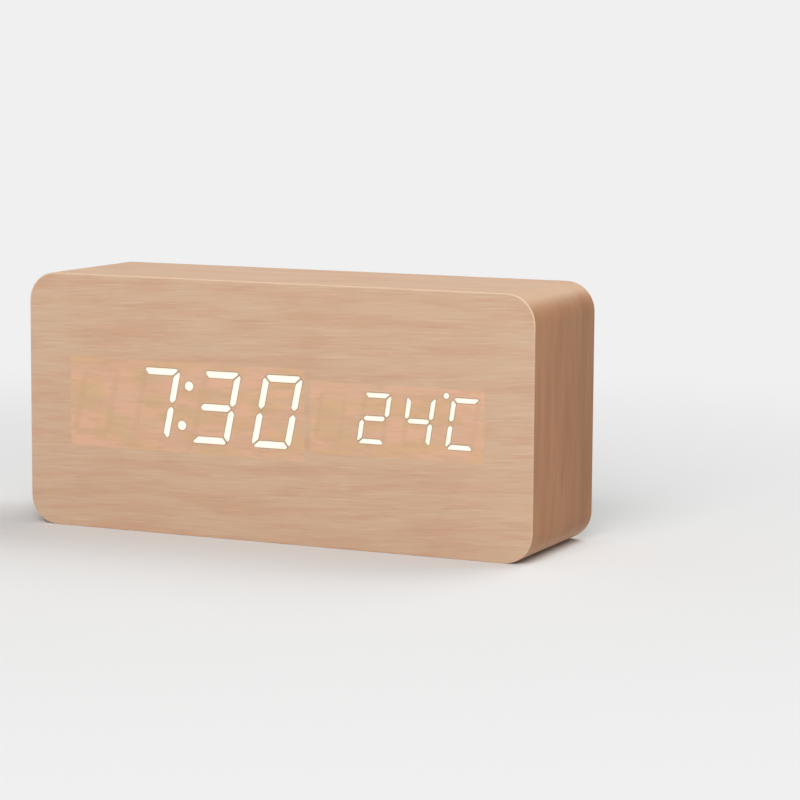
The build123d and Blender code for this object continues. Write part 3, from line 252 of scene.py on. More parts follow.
def makeSky(look):
    # the background as the camera and reflections see it, and a softer fill on everything else
    paint = Paint("studio", world=True)
    camera, glossy, through = (
        paint.add("ShaderNodeLightPath", output=ray)
        for ray in ("Is Camera Ray", "Is Glossy Ray", "Is Transmission Ray")
    )
    fill = paint.add("ShaderNodeBackground", None, {"Color": look["fillTint"], "Strength": look["fill"]})
    backdrop = paint.add("ShaderNodeBackground", None, {"Color": look["background"], "Strength": 1.0})
    seen = camera.atLeast(glossy).atLeast(through)
    return paint.finish(paint.add("ShaderNodeMixShader", None, {0: seen, 1: fill, 2: backdrop}))


def makeStudio(look):
    makePaper(look)
    makeLamp("key", look["keyPlace"], look["keySize"], look["keyPower"], look["lampTint"])
    makeLamp("top", look["topPlace"], look["topSize"], look["topPower"], look["lampTint"])
    bpy.context.scene.world = makeSky(look)
    bpy.context.scene.view_settings.view_transform = "Standard"


makeCamera(cameraLook)
makeStudio(studioLook)
print("camera, paper and lamps")


# Wood-grain film: a printed sheet whose grain runs along one direction. Sizes are a length and a width
# in millimetres, and a fade is where a layer starts and where it is full

filmLook = {
    "straw": shade(208, 176, 148), "pink": shade(205, 165, 137),
    "dark": shade(178, 134, 108), "light": shade(230, 202, 174),
    "wander": (55, 20), "wanderReach": 2.6, "slope": -0.045,
    "patch": (30, 3.6), "patchFade": (0.36, 0.6), "streak": (13, 0.6),
    "lightFade": (0.54, 0.72), "lightShare": 0.6, "darkBelow": 0.46, "darkSpan": 0.16, "darkShare": 0.5,
    "fleck": (5, 0.36), "fleckFade": (0.62, 0.74), "gate": (30, 10), "gateFade": (0.48, 0.62),
    "fibre": (8, 0.2), "fibreShare": 0.12, "fibreHeight": 0.6, "streakHeight": 0.4,
    "roughness": 0.5, "roughSpread": 0.12, "gloss": 0.35, "bumpDepth": 0.02,
}


def grain(paint, along, across, seed, depth=1.0, look=filmLook):
    # colour and height of the printed grain, along and across being millimetres on the sheet.
    # Each layer has a seed of its own, so that no two lie alike
    wander = (paint.streaks(along, across, look["wander"], seed) - 0.5) * look["wanderReach"]
    level = across + wander + along * look["slope"]
    patch = paint.streaks(along, level, look["patch"], seed + 3, detail=3.0, rough=0.6)
    colour = paint.mix(paint.fade(patch, *look["patchFade"]), look["pink"], look["straw"])
    streak = paint.streaks(along, level, look["streak"], seed + 7, detail=2.5, rough=0.6)
    lighter = paint.fade(streak, *look["lightFade"]) * look["lightShare"] * depth
    colour = paint.mix(lighter, colour, look["light"])
    darker = paint.fade(look["darkBelow"] - streak, 0.0, look["darkSpan"]) * look["darkShare"] * depth
    colour = paint.mix(darker, colour, look["dark"])
    fleck = paint.streaks(along, level, look["fleck"], seed + 11, detail=1.0)
    gate = paint.fade(paint.streaks(along, across, look["gate"], seed + 13), *look["gateFade"])
    flecks = paint.fade(fleck, *look["fleckFade"]) * gate * look["darkShare"] * depth
    colour = paint.mix(flecks, colour, look["dark"])
    fibre = paint.streaks(along, level, look["fibre"], seed + 17)
    tone = paint.add("ShaderNodeCombineColor", None, {0: fibre, 1: fibre, 2: fibre})
    colour = paint.mix(look["fibreShare"], colour, tone, "OVERLAY")
    return colour, fibre * look["fibreHeight"] + streak * look["streakHeight"]


def filmSurface(paint, colour, height, bumpShare=1.0, look=filmLook):
    return paint.surface(
        Base_Color=colour, Roughness=look["roughness"] + look["roughSpread"] * (height - 0.5),
        Normal=paint.bump(height, look["bumpDepth"] * bumpShare), Specular_IOR_Level=look["gloss"]
    )


def boxMask(paint, x, z, low, high, soft):
    # 1 inside a rectangle given by two corners, with soft edges
    inside = ((high[0] - low[0]) / 2 - abs(x - (high[0] + low[0]) / 2)).atMost(
        (high[2] - low[2]) / 2 - abs(z - (high[2] + low[2]) / 2)
    )
    return paint.fade(inside, -soft, soft)


def edgeDistance(x, z, high, radius):
    # millimetres from the outline of the block's rounded face, positive inside
    halfLength, middle = high[0], high[2] / 2
    outX = abs(x) - (halfLength - radius)
    outZ = abs(z - middle) - (middle - radius)
    wideX, wideZ = outX.atLeast(0), outZ.atLeast(0)
    corner = (wideX * wideX + wideZ * wideZ).root()
    return radius - corner - outX.atLeast(outZ).atMost(0)


digitLook = {
    "slant": (11.5, 8.5), "rise": (17.9, 12.3), "width": (9.85, 6.9), "stroke": (1.95, 1.4),
    "pitch": (18.45, 12.65), "middleRise": 0.6, "soft": 0.35,
}


def ghostMask(paint, x, z, low, high, which, look=digitLook):
    # the unlit bars of a display, seen faintly through the sheet
    middleX, middleZ = (low[0] + high[0]) / 2, (low[2] + high[2]) / 2 + look["middleRise"]
    rise, width, stroke, pitch = (look[key][which] for key in ("rise", "width", "stroke", "pitch"))
    up = z - middleZ
    leaned = x - middleX - up * tan(radians(look["slant"][which])) + 2 * pitch
    side = abs(leaned.repeated(pitch) - pitch / 2)
    level = abs(up)
    soft = look["soft"]
    upright = paint.fade(stroke / 2 - abs(side - width / 2), -soft, soft)
    upright = upright * paint.fade(rise / 2 - level, -soft, soft)
    acrossBars = paint.fade(stroke / 2 - abs(level - rise / 2), -soft, soft).atLeast(
        paint.fade(stroke / 2 - level, -soft, soft)
    )
    flat = acrossBars * paint.fade(width / 2 - side, -soft, soft)
    within = paint.fade(2 * pitch - abs(leaned - 2 * pitch), 0.0, soft)
    return upright.atLeast(flat) * within


frontLook = {
    "seed": 1.0, "depth": 0.5, "corner": 8, "unevenSeed": 40, "hueSeed": 50, "dimSeed": 60,
    "window": shade(226, 178, 149), "ochre": shade(216, 176, 136), "ghost": shade(196, 160, 128),
    "windowSoft": 0.35, "windowShare": 0.44, "windowSpread": 0.5,
    "uneven": (16, 3.4), "unevenFade": (0.34, 0.66), "hue": (13, 5), "hueFade": (0.42, 0.58),
    "dim": (6, 1.1), "dimFade": (0.5, 0.68), "dimShare": 0.35,
    "ghostFade": (0.35, 0.65), "ghostShare": 0.5, "ghostSpread": 0.5, "ghostStrength": 0.31,
    # the edge colour, with the fades after it, paints a highlight along the film's cut edge
    "edge": shade(243, 214, 184), "edgeHighlightReach": 0.45, "edgeHighlightSoft": 0.3,
    "highlightTopFade": (54, 69), "highlightTopShare": 0.6, "highlightRightFade": (66, 74), "highlightRightShare": 0.1,
}


def makeFrontFilm(look):
    paint = Paint("frontFilm")
    x, z = paint.places()[::2]
    colour, height = grain(paint, x, z, look["seed"], look["depth"])
    blocks = [corners("time_reflector"), corners("temperature_reflector")]
    for which, (low, high) in enumerate(blocks):
        window = boxMask(paint, x, z, low, high, look["windowSoft"])
        uneven = paint.streaks(x, z, look["uneven"], look["unevenSeed"] + which, detail=3)
        hue = paint.streaks(x, z, look["hue"], look["hueSeed"] + which, detail=3)
        glow = paint.mix(paint.fade(hue, *look["hueFade"]), look["ochre"], look["window"])
        share = look["windowShare"] + look["windowSpread"] * paint.fade(uneven, *look["unevenFade"])
        colour = paint.mix(window * share, colour, glow)
        dim = paint.streaks(x, z, look["dim"], look["dimSeed"] + which, detail=3)
        dimmed = window * paint.fade(dim, *look["dimFade"]) * look["dimShare"]
        colour = paint.mix(dimmed, colour, look["ghost"])
        seen = look["ghostShare"] + look["ghostSpread"] * paint.fade(uneven, *look["ghostFade"])
        ghost = ghostMask(paint, x, z, low, high, which) * window * seen
        colour = paint.mix(ghost * look["ghostStrength"], colour, look["ghost"])
    # a painted highlight on the sheet's cut edge, where it catches the light along the top and a little on
    # the right
    inward = edgeDistance(x, z, corners("front_film")[1], look["corner"])
    rim = paint.fade(look["edgeHighlightReach"] - inward, 0.0, look["edgeHighlightSoft"])
    upper = paint.fade(z, *look["highlightTopFade"]) * look["highlightTopShare"]
    lit = upper + paint.fade(x, *look["highlightRightFade"]) * look["highlightRightShare"]
    colour = paint.mix(rim * lit, colour, look["edge"])
    return filmSurface(paint, colour, height)


wrapLook = {
    "seed": 60.0, "stretch": (1.5, 1.7), "depth": 0.5, "corner": 8, "bumpShare": 0.5, "nearZero": 0.001,
    "bend": shade(208, 173, 142), "bendMiddle": 3.5, "bendReach": 5, "bendSoft": 4, "bendShare": 0.4,
    # the top and side tints paint light and shade: the top warmer as lit, the sides much darker as in shade
    "sideFrom": 0.58, "topLitTint": (0.97, 0.925, 0.85), "sideShadeTint": (0.675, 0.46, 0.27),
    "driftSeed": 77, "drift": (34, 4.6), "driftSlope": 90, "driftFade": (0.36, 0.64), "driftOnTop": 0.4,
    "olive": (0.94, 0.92, 0.87), "russet": (1.04, 1.04, 1.03),
    # the last tint paints shade on the sides, deeper towards the back
    "backShadeTint": (0.84, 0.81, 0.76), "backShadeFade": (-14, 16),
}


def makeWrapFilm(look):
    # the grain follows the way round the block: along the top, down the sides
    paint = Paint("wrapFilm")
    x, y, z = paint.places()
    high = corners("side_wrap")[1]
    radius = look["corner"]
    flatX, flatTop = high[0] - radius, high[2] - radius
    outX = (abs(x) - flatX).atLeast(0)
    upper = outX.angleFrom((z - flatTop).atLeast(look["nearZero"]))
    lower = (radius - z).atLeast(0).angleFrom(outX.atLeast(look["nearZero"]))
    down = (flatTop - z).within(0, flatTop - radius)
    side = x.maths("SIGN", x)
    along = x.within(-flatX, flatX) + side * (upper * radius + down + lower * radius)
    longer, wider = look["stretch"]
    colour, height = grain(paint, along / longer, y / wider, look["seed"], look["depth"])
    bend = paint.fade(look["bendReach"] - abs(abs(x) - flatX - look["bendMiddle"]), 0.0, look["bendSoft"])
    colour = paint.mix(bend * look["bendShare"], colour, look["bend"])
    # painted shade: from the rounded corner down, the sides take a much darker, more orange tint than the top
    upright = paint.fade(abs(x), flatX + look["sideFrom"] * radius, flatX + radius)
    litAndShadedTint = paint.mix(upright, look["topLitTint"], look["sideShadeTint"])
    colour = paint.mix(1.0, colour, litAndShadedTint, "MULTIPLY")
    driftLength, driftWidth = look["drift"]
    sloped = y / driftWidth + along / look["driftSlope"]
    band = paint.noise(along / driftLength, sloped, look["driftSeed"], detail=3, rough=0.5)
    drift = paint.mix(paint.fade(band, *look["driftFade"]), look["olive"], look["russet"])
    colour = paint.mix(upright.atLeast(look["driftOnTop"]), colour, drift, "MULTIPLY")
    # painted shade: the sides grow darker towards the back
    backShade = upright * paint.fade(y, *look["backShadeFade"])
    colour = paint.mix(backShade, colour, look["backShadeTint"], "MULTIPLY")
    return filmSurface(paint, colour, height, look["bumpShare"])


def makeFlatFilm(name, across, seed):
    # across is 1 for a sheet that lies flat and 2 for one that stands
    paint = Paint(name)
    place = paint.places()
    colour, height = grain(paint, place[0], place[across], seed)
    return filmSurface(paint, colour, height)


# Fibreboard, lit and unlit bars, mouldings

boardLook = {
    "tan": shade(186, 150, 106), "dark": shade(140, 104, 66), "pale": shade(214, 184, 142),
    "fibre": (1.3, 0.5, 1.3), "fibreFade": (0.35, 0.7),
    "clump": 7, "clumpFade": (0.5, 0.75), "clumpShare": 0.4,
    "roughness": 0.85, "roughSpread": 0.1, "gloss": 0.2, "bumpDepth": 0.06,
}


def makeFibreboard(look):
    paint = Paint("fibreboard")
    place = paint.places()
    fibre = paint.clouds(place, look["fibre"], detail=4, rough=0.7)
    clump = paint.clouds(place, look["clump"])
    colour = paint.mix(paint.fade(fibre, *look["fibreFade"]), look["dark"], look["tan"])
    colour = paint.mix(paint.fade(clump, *look["clumpFade"]) * look["clumpShare"], colour, look["pale"])
    return paint.surface(
        Base_Color=colour, Roughness=look["roughness"] + look["roughSpread"] * fibre,
        Normal=paint.bump(fibre, look["bumpDepth"]), Specular_IOR_Level=look["gloss"]
    )


barLook = {
    "warm": shade(255, 249, 232), "white": shade(255, 252, 242),
    "cream": shade(250, 230, 198), "butter": shade(252, 238, 212), "rimGrey": shade(196, 190, 170),
    "base": (0.02, 0.02, 0.02), "strength": 1.0, "cloud": 3, "cloudFade": (0.3, 0.6),
    "roughness": 0.4, "roughSpread": 0.1, "rim": 0.04, "rimRoughness": 0.4, "halo": 0.2,
    "timeCorner": 0.24, "temperatureCorner": 0.14, "cornerSteps": 3, "cornerTurn": 20,
}
pipeLook = {
    "milk": shade(232, 226, 208), "mould": shade(236, 234, 226), "cloud": 2, "share": 0.4,
    "roughness": 0.3, "roughSpread": 0.15, "scatter": 0.3, "bumpDepth": 0.01,
}


def makeLitBar(look, name, dimmer, brighter):
    paint = Paint(name)
    cloud = paint.clouds(paint.places(), look["cloud"])
    colour = paint.mix(paint.fade(cloud, *look["cloudFade"]), look[dimmer], look[brighter])
    return paint.surface(
        Base_Color=look["base"], Emission_Color=colour, Emission_Strength=look["strength"],
        Roughness=look["roughness"] + look["roughSpread"] * cloud
    )


def makeUnlitBar(look):
    paint = Paint("unlitBar")
    cloud = paint.clouds(paint.places(), look["cloud"], detail=3)
    colour = paint.mix(cloud * look["share"], look["milk"], look["mould"])
    return paint.surface(
        Base_Color=colour, Roughness=look["roughness"] + look["roughSpread"] * cloud,
        Subsurface_Weight=look["scatter"], Subsurface_Scale=mm, Normal=paint.bump(cloud, look["bumpDepth"])
    )


mouldingLook = {
    "skin": 0.32, "skinFade": (0.5, 0.75), "skinShare": 0.5, "skinRough": 0.1,
    "flow": (18, 18, 9), "flowFade": (0.45, 0.8), "flowShare": 0.25, "flowRough": 0.16, "gloss": 0.5,
}


def makeMoulding(name, colour, speck, roughness, depth=0.01, look=mouldingLook):
    # moulded plastic with a spark-eroded skin, flow marks and a little dust
    paint = Paint(name)
    place = paint.places()
    skin = paint.clouds(place, look["skin"], rough=0.6)
    flow = paint.clouds(place, look["flow"], detail=3)
    tone = paint.mix(paint.fade(skin, *look["skinFade"]) * look["skinShare"], colour, speck)
    tone = paint.mix(paint.fade(flow, *look["flowFade"]) * look["flowShare"], tone, speck)
    rough = roughness + look["flowRough"] * (flow - 0.5) + look["skinRough"] * (skin - 0.5)
    return paint.surface(
        Base_Color=tone, Roughness=rough, Normal=paint.bump(skin, depth), Specular_IOR_Level=look["gloss"]
    )


# Metals

metalLook = {
    "brush": (2.0, 0.12, 0.12), "brushRough": 0.2, "stain": 4, "stainFade": (0.45, 0.8),
    "stainShare": 0.5, "stainRough": 0.12, "bumpDepth": 0.006,
}


def makeMetal(name, colour, dull, roughness, look=metalLook):
    paint = Paint(name)
    place = paint.places()
    scratch = paint.clouds(place, look["brush"], detail=3, rough=0.6)
    stain = paint.clouds(place, look["stain"], detail=3)
    tone = paint.mix(paint.fade(stain, *look["stainFade"]) * look["stainShare"], colour, dull)
    rough = roughness + look["brushRough"] * (scratch - 0.5) + look["stainRough"] * stain
    return paint.surface(
        Base_Color=tone, Metallic=1.0, Roughness=rough, Normal=paint.bump(scratch, look["bumpDepth"])
    )


# Circuit boards, chips and wires

circuitLook = {
    "mask": shade(24, 84, 52), "track": shade(38, 116, 70),
    "dark": shade(14, 58, 38), "pad": shade(208, 196, 160),
    "weave": 0.5, "weaveShare": 0.3, "block": (11, 11), "turnFade": (0.49, 0.5),
    "trackPitch": 1.9, "trackHalf": 0.22, "trackSoft": 0.04, "bare": (6, 6), "bareFade": (0.42, 0.43),
    "padPitch": 5.1, "padReach": 0.3, "padSoft": 0.06, "padFade": (0.52, 0.53),
    "roughness": 0.34, "roughSpread": 0.1, "bumpDepth": 0.03,
}


def makeCircuit(look):
    paint = Paint("circuitGreen")
    x, y, z = paint.places()
    pitch, padPitch = look["trackPitch"], look["padPitch"]
    half, soft = look["trackHalf"], look["trackSoft"]
    weave = paint.clouds((x, y, z), look["weave"], detail=1)
    alongX = paint.fade(half - abs(z.repeated(pitch) - pitch / 2), -soft, soft)
    alongZ = paint.fade(half - abs(x.repeated(pitch) - pitch / 2), -soft, soft)
    turned = paint.fade(paint.streaks(x, z, look["block"], 5, detail=0), *look["turnFade"])
    track = alongX * turned + alongZ * (1 - turned)
    track = track * paint.fade(paint.streaks(x, z, look["bare"], 9, detail=0), *look["bareFade"])
    colour = paint.mix(weave * look["weaveShare"], look["mask"], look["dark"])
    colour = paint.mix(track, colour, look["track"])
    spotX = x.repeated(padPitch) - padPitch / 2
    spotZ = z.repeated(padPitch) - padPitch / 2
    pads = paint.fade(look["padReach"] - spotX * spotX - spotZ * spotZ, 0.0, look["padSoft"])
    pads = pads * paint.fade(paint.streaks(x, z, (padPitch, padPitch), 21, detail=0), *look["padFade"])
    colour = paint.mix(pads, colour, look["pad"])
    return paint.surface(
        Base_Color=colour, Metallic=pads, Roughness=look["roughness"] + look["roughSpread"] * weave,
        Normal=paint.bump(track + pads, look["bumpDepth"])
    )


packageLook = {
    "epoxy": shade(28, 28, 30), "speck": shade(58, 58, 60), "tin": shade(205, 205, 200), "grain": 0.2,
    "speckShare": 0.4, "leadRise": 0.32, "leadSoft": 0.02, "roughness": 0.55, "leadGloss": 0.25,
    "roughSpread": 0.1, "bumpDepth": 0.01,
}


def makePackage(boardNode, look):
    # black epoxy, and tinned leads where the part lies against its board
    paint = Paint("chipEpoxy")
    x, y, z = paint.places()
    rise = y - corners(boardNode)[1].y
    lead = paint.fade(look["leadRise"] - rise, -look["leadSoft"], look["leadSoft"])
    speck = paint.clouds((x, y, z), look["grain"])
    colour = paint.mix(speck * look["speckShare"], look["epoxy"], look["speck"])
    colour = paint.mix(lead, colour, look["tin"])
    return paint.surface(
        Base_Color=colour, Metallic=lead,
        Roughness=look["roughness"] - look["leadGloss"] * lead + look["roughSpread"] * speck,
        Normal=paint.bump(speck, look["bumpDepth"])
    )


sleeveLook = {
    "wave": 3, "waveFade": (0.5, 0.8), "waveShare": 0.5, "stripeSoft": 0.05,
    "roughness": 0.3, "roughSpread": 0.2, "bumpDepth": 0.01,
}


def makeSleeve(name, colour, worn, stripe=None, middle=0.0, half=0.0, look=sleeveLook):
    # a shrunk or drawn sleeve, with one stripe where X is near the middle if it has any
    paint = Paint(name)
    x, y, z = paint.places()
    wave = paint.clouds((x, y, z), look["wave"], detail=3)
    tone = paint.mix(paint.fade(wave, *look["waveFade"]) * look["waveShare"], colour, worn)
    if stripe:
        beside = half - abs(x - middle)
        tone = paint.mix(paint.fade(beside, -look["stripeSoft"], look["stripeSoft"]), tone, stripe)
    return paint.surface(
        Base_Color=tone, Roughness=look["roughness"] + look["roughSpread"] * wave,
        Normal=paint.bump(wave, look["bumpDepth"])
    )


print("finishes")


# New pieces start from a CAD node's faces or from a few bmesh shapes. Lengths are in millimetres,
# angles in degrees

meshLook = {"merge": 0.002, "flat": 0.4, "level": 0.01, "steep": 55, "sharp": 20, "facing": 0.999}


def copied(nodeName, look=meshLook):
    # a node's triangles merged, its flat areas made single faces
    mesh = bmesh.new()
    mesh.from_mesh(nodes[nodeName].data)
    bmesh.ops.remove_doubles(mesh, verts=mesh.verts, dist=look["merge"] * mm)
    bmesh.ops.dissolve_limit(mesh, angle_limit=radians(look["flat"]), verts=mesh.verts, edges=mesh.edges)
    return mesh


def soften(mesh, edges, reach, segments=2):
    bmesh.ops.bevel(
        mesh, geom=edges, offset=reach * mm, segments=segments, profile=0.5,
        affect="EDGES", material=-1, clamp_overlap=False,
    )


def rimEdges(mesh, level, steep=meshLook["steep"], look=meshLook):
    # the crisp edges that lie in the plane Y = level
    return [
        edge for edge in mesh.edges
        if len(edge.link_faces) == 2 and edge.calc_face_angle() > radians(steep)
        and all(abs(vert.co.y / mm - level) < look["level"] for vert in edge.verts)
    ]


def makePiece(name, mesh, materials, body, replaced, sharp=meshLook["sharp"], look=meshLook):
    data = bpy.data.meshes.new(name)
    mesh.to_mesh(data)
    mesh.free()
    for material in materials:
        data.materials.append(material)
    data.shade_smooth()
    data.set_sharp_from_angle(angle=radians(sharp))
    for face in data.polygons:
        face.use_smooth = abs(face.normal.y) < look["facing"]  # faces to the front and back stay flat
    piece = bpy.data.objects.new(name, data)
    bpy.context.scene.collection.objects.link(piece)
    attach(piece, body)
    if replaced:
        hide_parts(replaced)
    return piece


# Lit bars: rounded corners, and a bright core within a cream ring and a dim rim

def makeBars(nodeName, name, cornerRound, look):
    mesh = copied(nodeName)
    front = corners(nodeName)[0].y
    upright = [
        edge for edge in mesh.edges
        if len(edge.link_faces) == 2 and edge.calc_face_angle() > radians(look["cornerTurn"])
        and abs(edge.verts[0].co.y - edge.verts[1].co.y) > mm
    ]
    soften(mesh, upright, cornerRound, look["cornerSteps"])
    cores = [face for face in mesh.faces if face.calc_center_median().y / mm < front + meshLook["level"]]
    for face in mesh.faces:
        face.material_index = 1
    for face in cores:
        face.material_index = 0
    for width, finish in (("rim", 1), ("halo", 2)):
        ring = bmesh.ops.inset_individual(mesh, faces=cores, thickness=look[width] * mm, use_even_offset=True)
        for face in ring["faces"]:
            face.material_index = finish
    core = makeLitBar(look, name + "Core", "warm", "white")
    rim = makeMoulding(name + "Rim", look["rimGrey"], pipeLook["milk"], look["rimRoughness"])
    halo = makeLitBar(look, name + "Halo", "cream", "butter")
    return makePiece(name, mesh, [core, rim, halo], "case", nodeName)


makeBars("time_bars_lit", "timeBars", barLook["timeCorner"], barLook)
makeBars("temperature_bars_lit", "temperatureBars", barLook["temperatureCorner"], barLook)
print("lit bars")


# Mouldings with softened edges, at the levels where a rim lies

insertLook = {
    "colour": shade(31, 31, 33), "speck": shade(52, 52, 54), "roughness": 0.56,
    "grain": 0.03, "softening": 0.14,
}
doorLook = {
    "colour": shade(33, 33, 35), "speck": shade(54, 54, 56), "roughness": 0.5,
    "grain": 0.03, "softening": 0.14, "ledge": 1.8, "latchSoftening": 0.12, "latchLedge": 0.15,
}
insertScrewLook = {
    "colour": (0.05, 0.05, 0.055), "dull": (0.1, 0.1, 0.1), "roughness": 0.34, "softening": 0.1, "steep": 30,
}


def makeBlack(name, look):
    return makeMoulding(name, look["colour"], look["speck"], look["roughness"], look["grain"])


def makeInsert(look):
    mesh = copied("rear_insert")
    soften(mesh, rimEdges(mesh, corners("rear_insert")[1].y), look["softening"])
    finish = makeBlack("insertBlack", look)
    makePiece("rearInsert", mesh, [finish], "case", "rear_insert")


def makeDoor(look):
    finish = makeBlack("doorBlack", look)
    mesh = copied("battery_door")
    outer = corners("battery_door")[1].y
    soften(mesh, rimEdges(mesh, outer) + rimEdges(mesh, outer - look["ledge"]), look["softening"])
    makePiece("batteryDoor", mesh, [finish], "door", "battery_door")
    mesh = copied("door_latch")
    level = corners("door_latch")[1].y - look["latchLedge"]
    soften(mesh, rimEdges(mesh, level), look["latchSoftening"])
    makePiece("doorLatch", mesh, [finish], "latch", "door_latch")


def makeInsertScrews(look):
    mesh = copied("insert_screws")
    soften(mesh, rimEdges(mesh, corners("insert_screws")[1].y, look["steep"]), look["softening"])
    finish = makeMetal("screwBlack", look["colour"], look["dull"], look["roughness"])
    makePiece("insertScrews", mesh, [finish], "case", "insert_screws")


makeInsert(insertLook)
makeDoor(doorLook)
makeInsertScrews(insertScrewLook)
print("insert, door, latch and screws")


# Buttons with a raised mark each: a ring to set, and triangles for down and up

keyLook = {
    "markRise": 0.1, "markSink": 0.2, "ringRadius": 1.0, "ringWidth": 0.3, "ringSides": 36,
    "arrowRadius": 1.2,
    "black": shade(22, 22, 24), "speck": shade(46, 46, 48), "roughness": 0.34,
    "pale": shade(188, 188, 184), "paleSpeck": shade(160, 160, 158), "paleRoughness": 0.5,
}


def makeKey(nodeName, name, body, turn, materials, look):
    mesh = copied(nodeName)
    low, high = corners(nodeName)
    middle = Vector(((low.x + high.x) / 2, high.y - look["markSink"], (low.z + high.z) / 2)) * mm
    facing = Matrix.Translation(middle) @ Matrix.Rotation(radians(-90), 4, "X")
    if turn is None:
        loops = []
        for reach in (look["ringRadius"], look["ringRadius"] - look["ringWidth"]):
            circle = bmesh.ops.create_circle(
                mesh, segments=look["ringSides"], radius=reach * mm, matrix=facing
            )["verts"]
            loops += list(dict.fromkeys(edge for vert in circle for edge in vert.link_edges))
        faces = bmesh.ops.bridge_loops(mesh, edges=loops)["faces"]
    else:
        facing = facing @ Matrix.Rotation(radians(turn), 4, "Z")
        mark = bmesh.ops.create_circle(
            mesh, cap_ends=True, segments=3, radius=look["arrowRadius"] * mm, matrix=facing
        )["verts"]
        faces = list(mark[0].link_faces)
    raised = bmesh.ops.extrude_face_region(mesh, geom=faces)["geom"]
    lifted = [part for part in raised if isinstance(part, bmesh.types.BMVert)]
    bmesh.ops.translate(mesh, verts=lifted, vec=(0, (look["markRise"] + look["markSink"]) * mm, 0))
    for face in mesh.faces:
        face.material_index = int(all(vert in lifted for vert in face.verts))
    bmesh.ops.recalc_face_normals(mesh, faces=mesh.faces)
    return makePiece(name, mesh, materials, body, nodeName)


keyFinish = [
    makeMoulding("buttonBlack", keyLook["black"], keyLook["speck"], keyLook["roughness"]),
    makeMoulding("markPale", keyLook["pale"], keyLook["paleSpeck"], keyLook["paleRoughness"]),
]
makeKey("set_button", "setButton", "set_key", None, keyFinish, keyLook)
makeKey("down_button", "downButton", "down_key", 0, keyFinish, keyLook)
makeKey("up_button", "upButton", "up_key", 180, keyFinish, keyLook)
print("buttons")


# Four cells, each spun round its own line: steel cap and base, and a shrunk sleeve with a pale end and ring.
# The points of the line are a distance from the base and one from the cell's own axis

cellLook = {
    "count": 4, "length": 44.5, "steps": 40, "merge": 0.001, "radius": 5.25,
    "bandFrom": 33.5, "ring": (31.8, 32.5),
    "base": [(0.0, 0.0), (0.0, 3.1), (0.25, 3.4), (0.3, 3.8)],
    "sleeveFoot": [(0.08, 4.2), (0.12, 4.75), (0.5, 5.2)],
    "sleeveTop": [(42.7, 5.25), (43.2, 5.0), (43.45, 4.4), (43.35, 3.9)],
    "cap": [(43.3, 2.4), (43.5, 2.05), (44.3, 1.85), (44.5, 1.55), (44.5, 0.0)],
    "baseEnds": (0.35, 3.9), "capStarts": (43.25, 3.95), "sharp": 24,
    "body": shade(30, 62, 92), "bodyWorn": shade(40, 74, 104),
    "pale": shade(208, 209, 206), "paleWorn": shade(196, 197, 194),
    "steel": (0.66, 0.65, 0.62), "dull": (0.5, 0.48, 0.44), "steelRoughness": 0.22,
}


def makeCells(look):
    mesh = bmesh.new()
    low, high = corners("battery_cells")
    pitch = (high.z - low.z - 2 * look["radius"]) / (look["count"] - 1)
    printed = [(along, look["radius"]) for along in (*look["ring"], look["bandFrom"])]
    sleeve = look["sleeveFoot"] + printed + look["sleeveTop"]
    profile = look["base"] + sleeve + look["cap"]
    for place in range(look["count"]):
        line = [mesh.verts.new((along * mm, 0, reach * mm)) for along, reach in profile]
        edges = [mesh.edges.new(pair) for pair in zip(line, line[1:])]
        bmesh.ops.spin(
            mesh, geom=line + edges, cent=(0, 0, 0), axis=(1, 0, 0), angle=2 * pi,
            steps=look["steps"], use_merge=True,
        )
        bmesh.ops.remove_doubles(mesh, verts=mesh.verts, dist=look["merge"] * mm)
        cell = [vert for vert in mesh.verts if not vert.tag]
        for face in [face for face in mesh.faces if not face.tag]:
            along = face.calc_center_median().x / mm
            reach = max(vert.co.yz.length for vert in face.verts) / mm
            steel = along < look["baseEnds"][0] and reach < look["baseEnds"][1]
            steel = steel or along > look["capStarts"][0] and reach < look["capStarts"][1]
            pale = along > look["bandFrom"] or look["ring"][0] < along < look["ring"][1]
            face.material_index = 2 if steel else int(pale)
            face.tag = True
        forward = place % 2 == 0
        start = high.x - look["length"] if forward else low.x + look["length"]
        turned = Matrix.Rotation(0 if forward else pi, 4, "Z")
        spot = Vector((start, (low.y + high.y) / 2, low.z + look["radius"] + place * pitch)) * mm
        bmesh.ops.transform(mesh, matrix=Matrix.Translation(spot) @ turned, verts=cell)
        for vert in cell:
            vert.tag = True
    bmesh.ops.recalc_face_normals(mesh, faces=mesh.faces)
    sleeveBody = makeSleeve("cellSleeve", look["body"], look["bodyWorn"])
    sleeveBand = makeSleeve("cellBand", look["pale"], look["paleWorn"])
    steel = makeMetal("cellSteel", look["steel"], look["dull"], look["steelRoughness"])
    finishes = [sleeveBody, sleeveBand, steel]
    makePiece("batteryCells", mesh, finishes, "case", "battery_cells", look["sharp"])


makeCells(cellLook)
print("cells")


# The socket's five contacts, on the underside of its tongue

contactLook = {
    "count": 5, "pitch": 0.65, "width": 0.3, "thickness": 0.06, "length": 3.2, "setBack": 0.3, "drop": 0.32,
    "softening": 0.015, "gold": (0.86, 0.66, 0.32), "dull": (0.7, 0.52, 0.26), "roughness": 0.2,
}


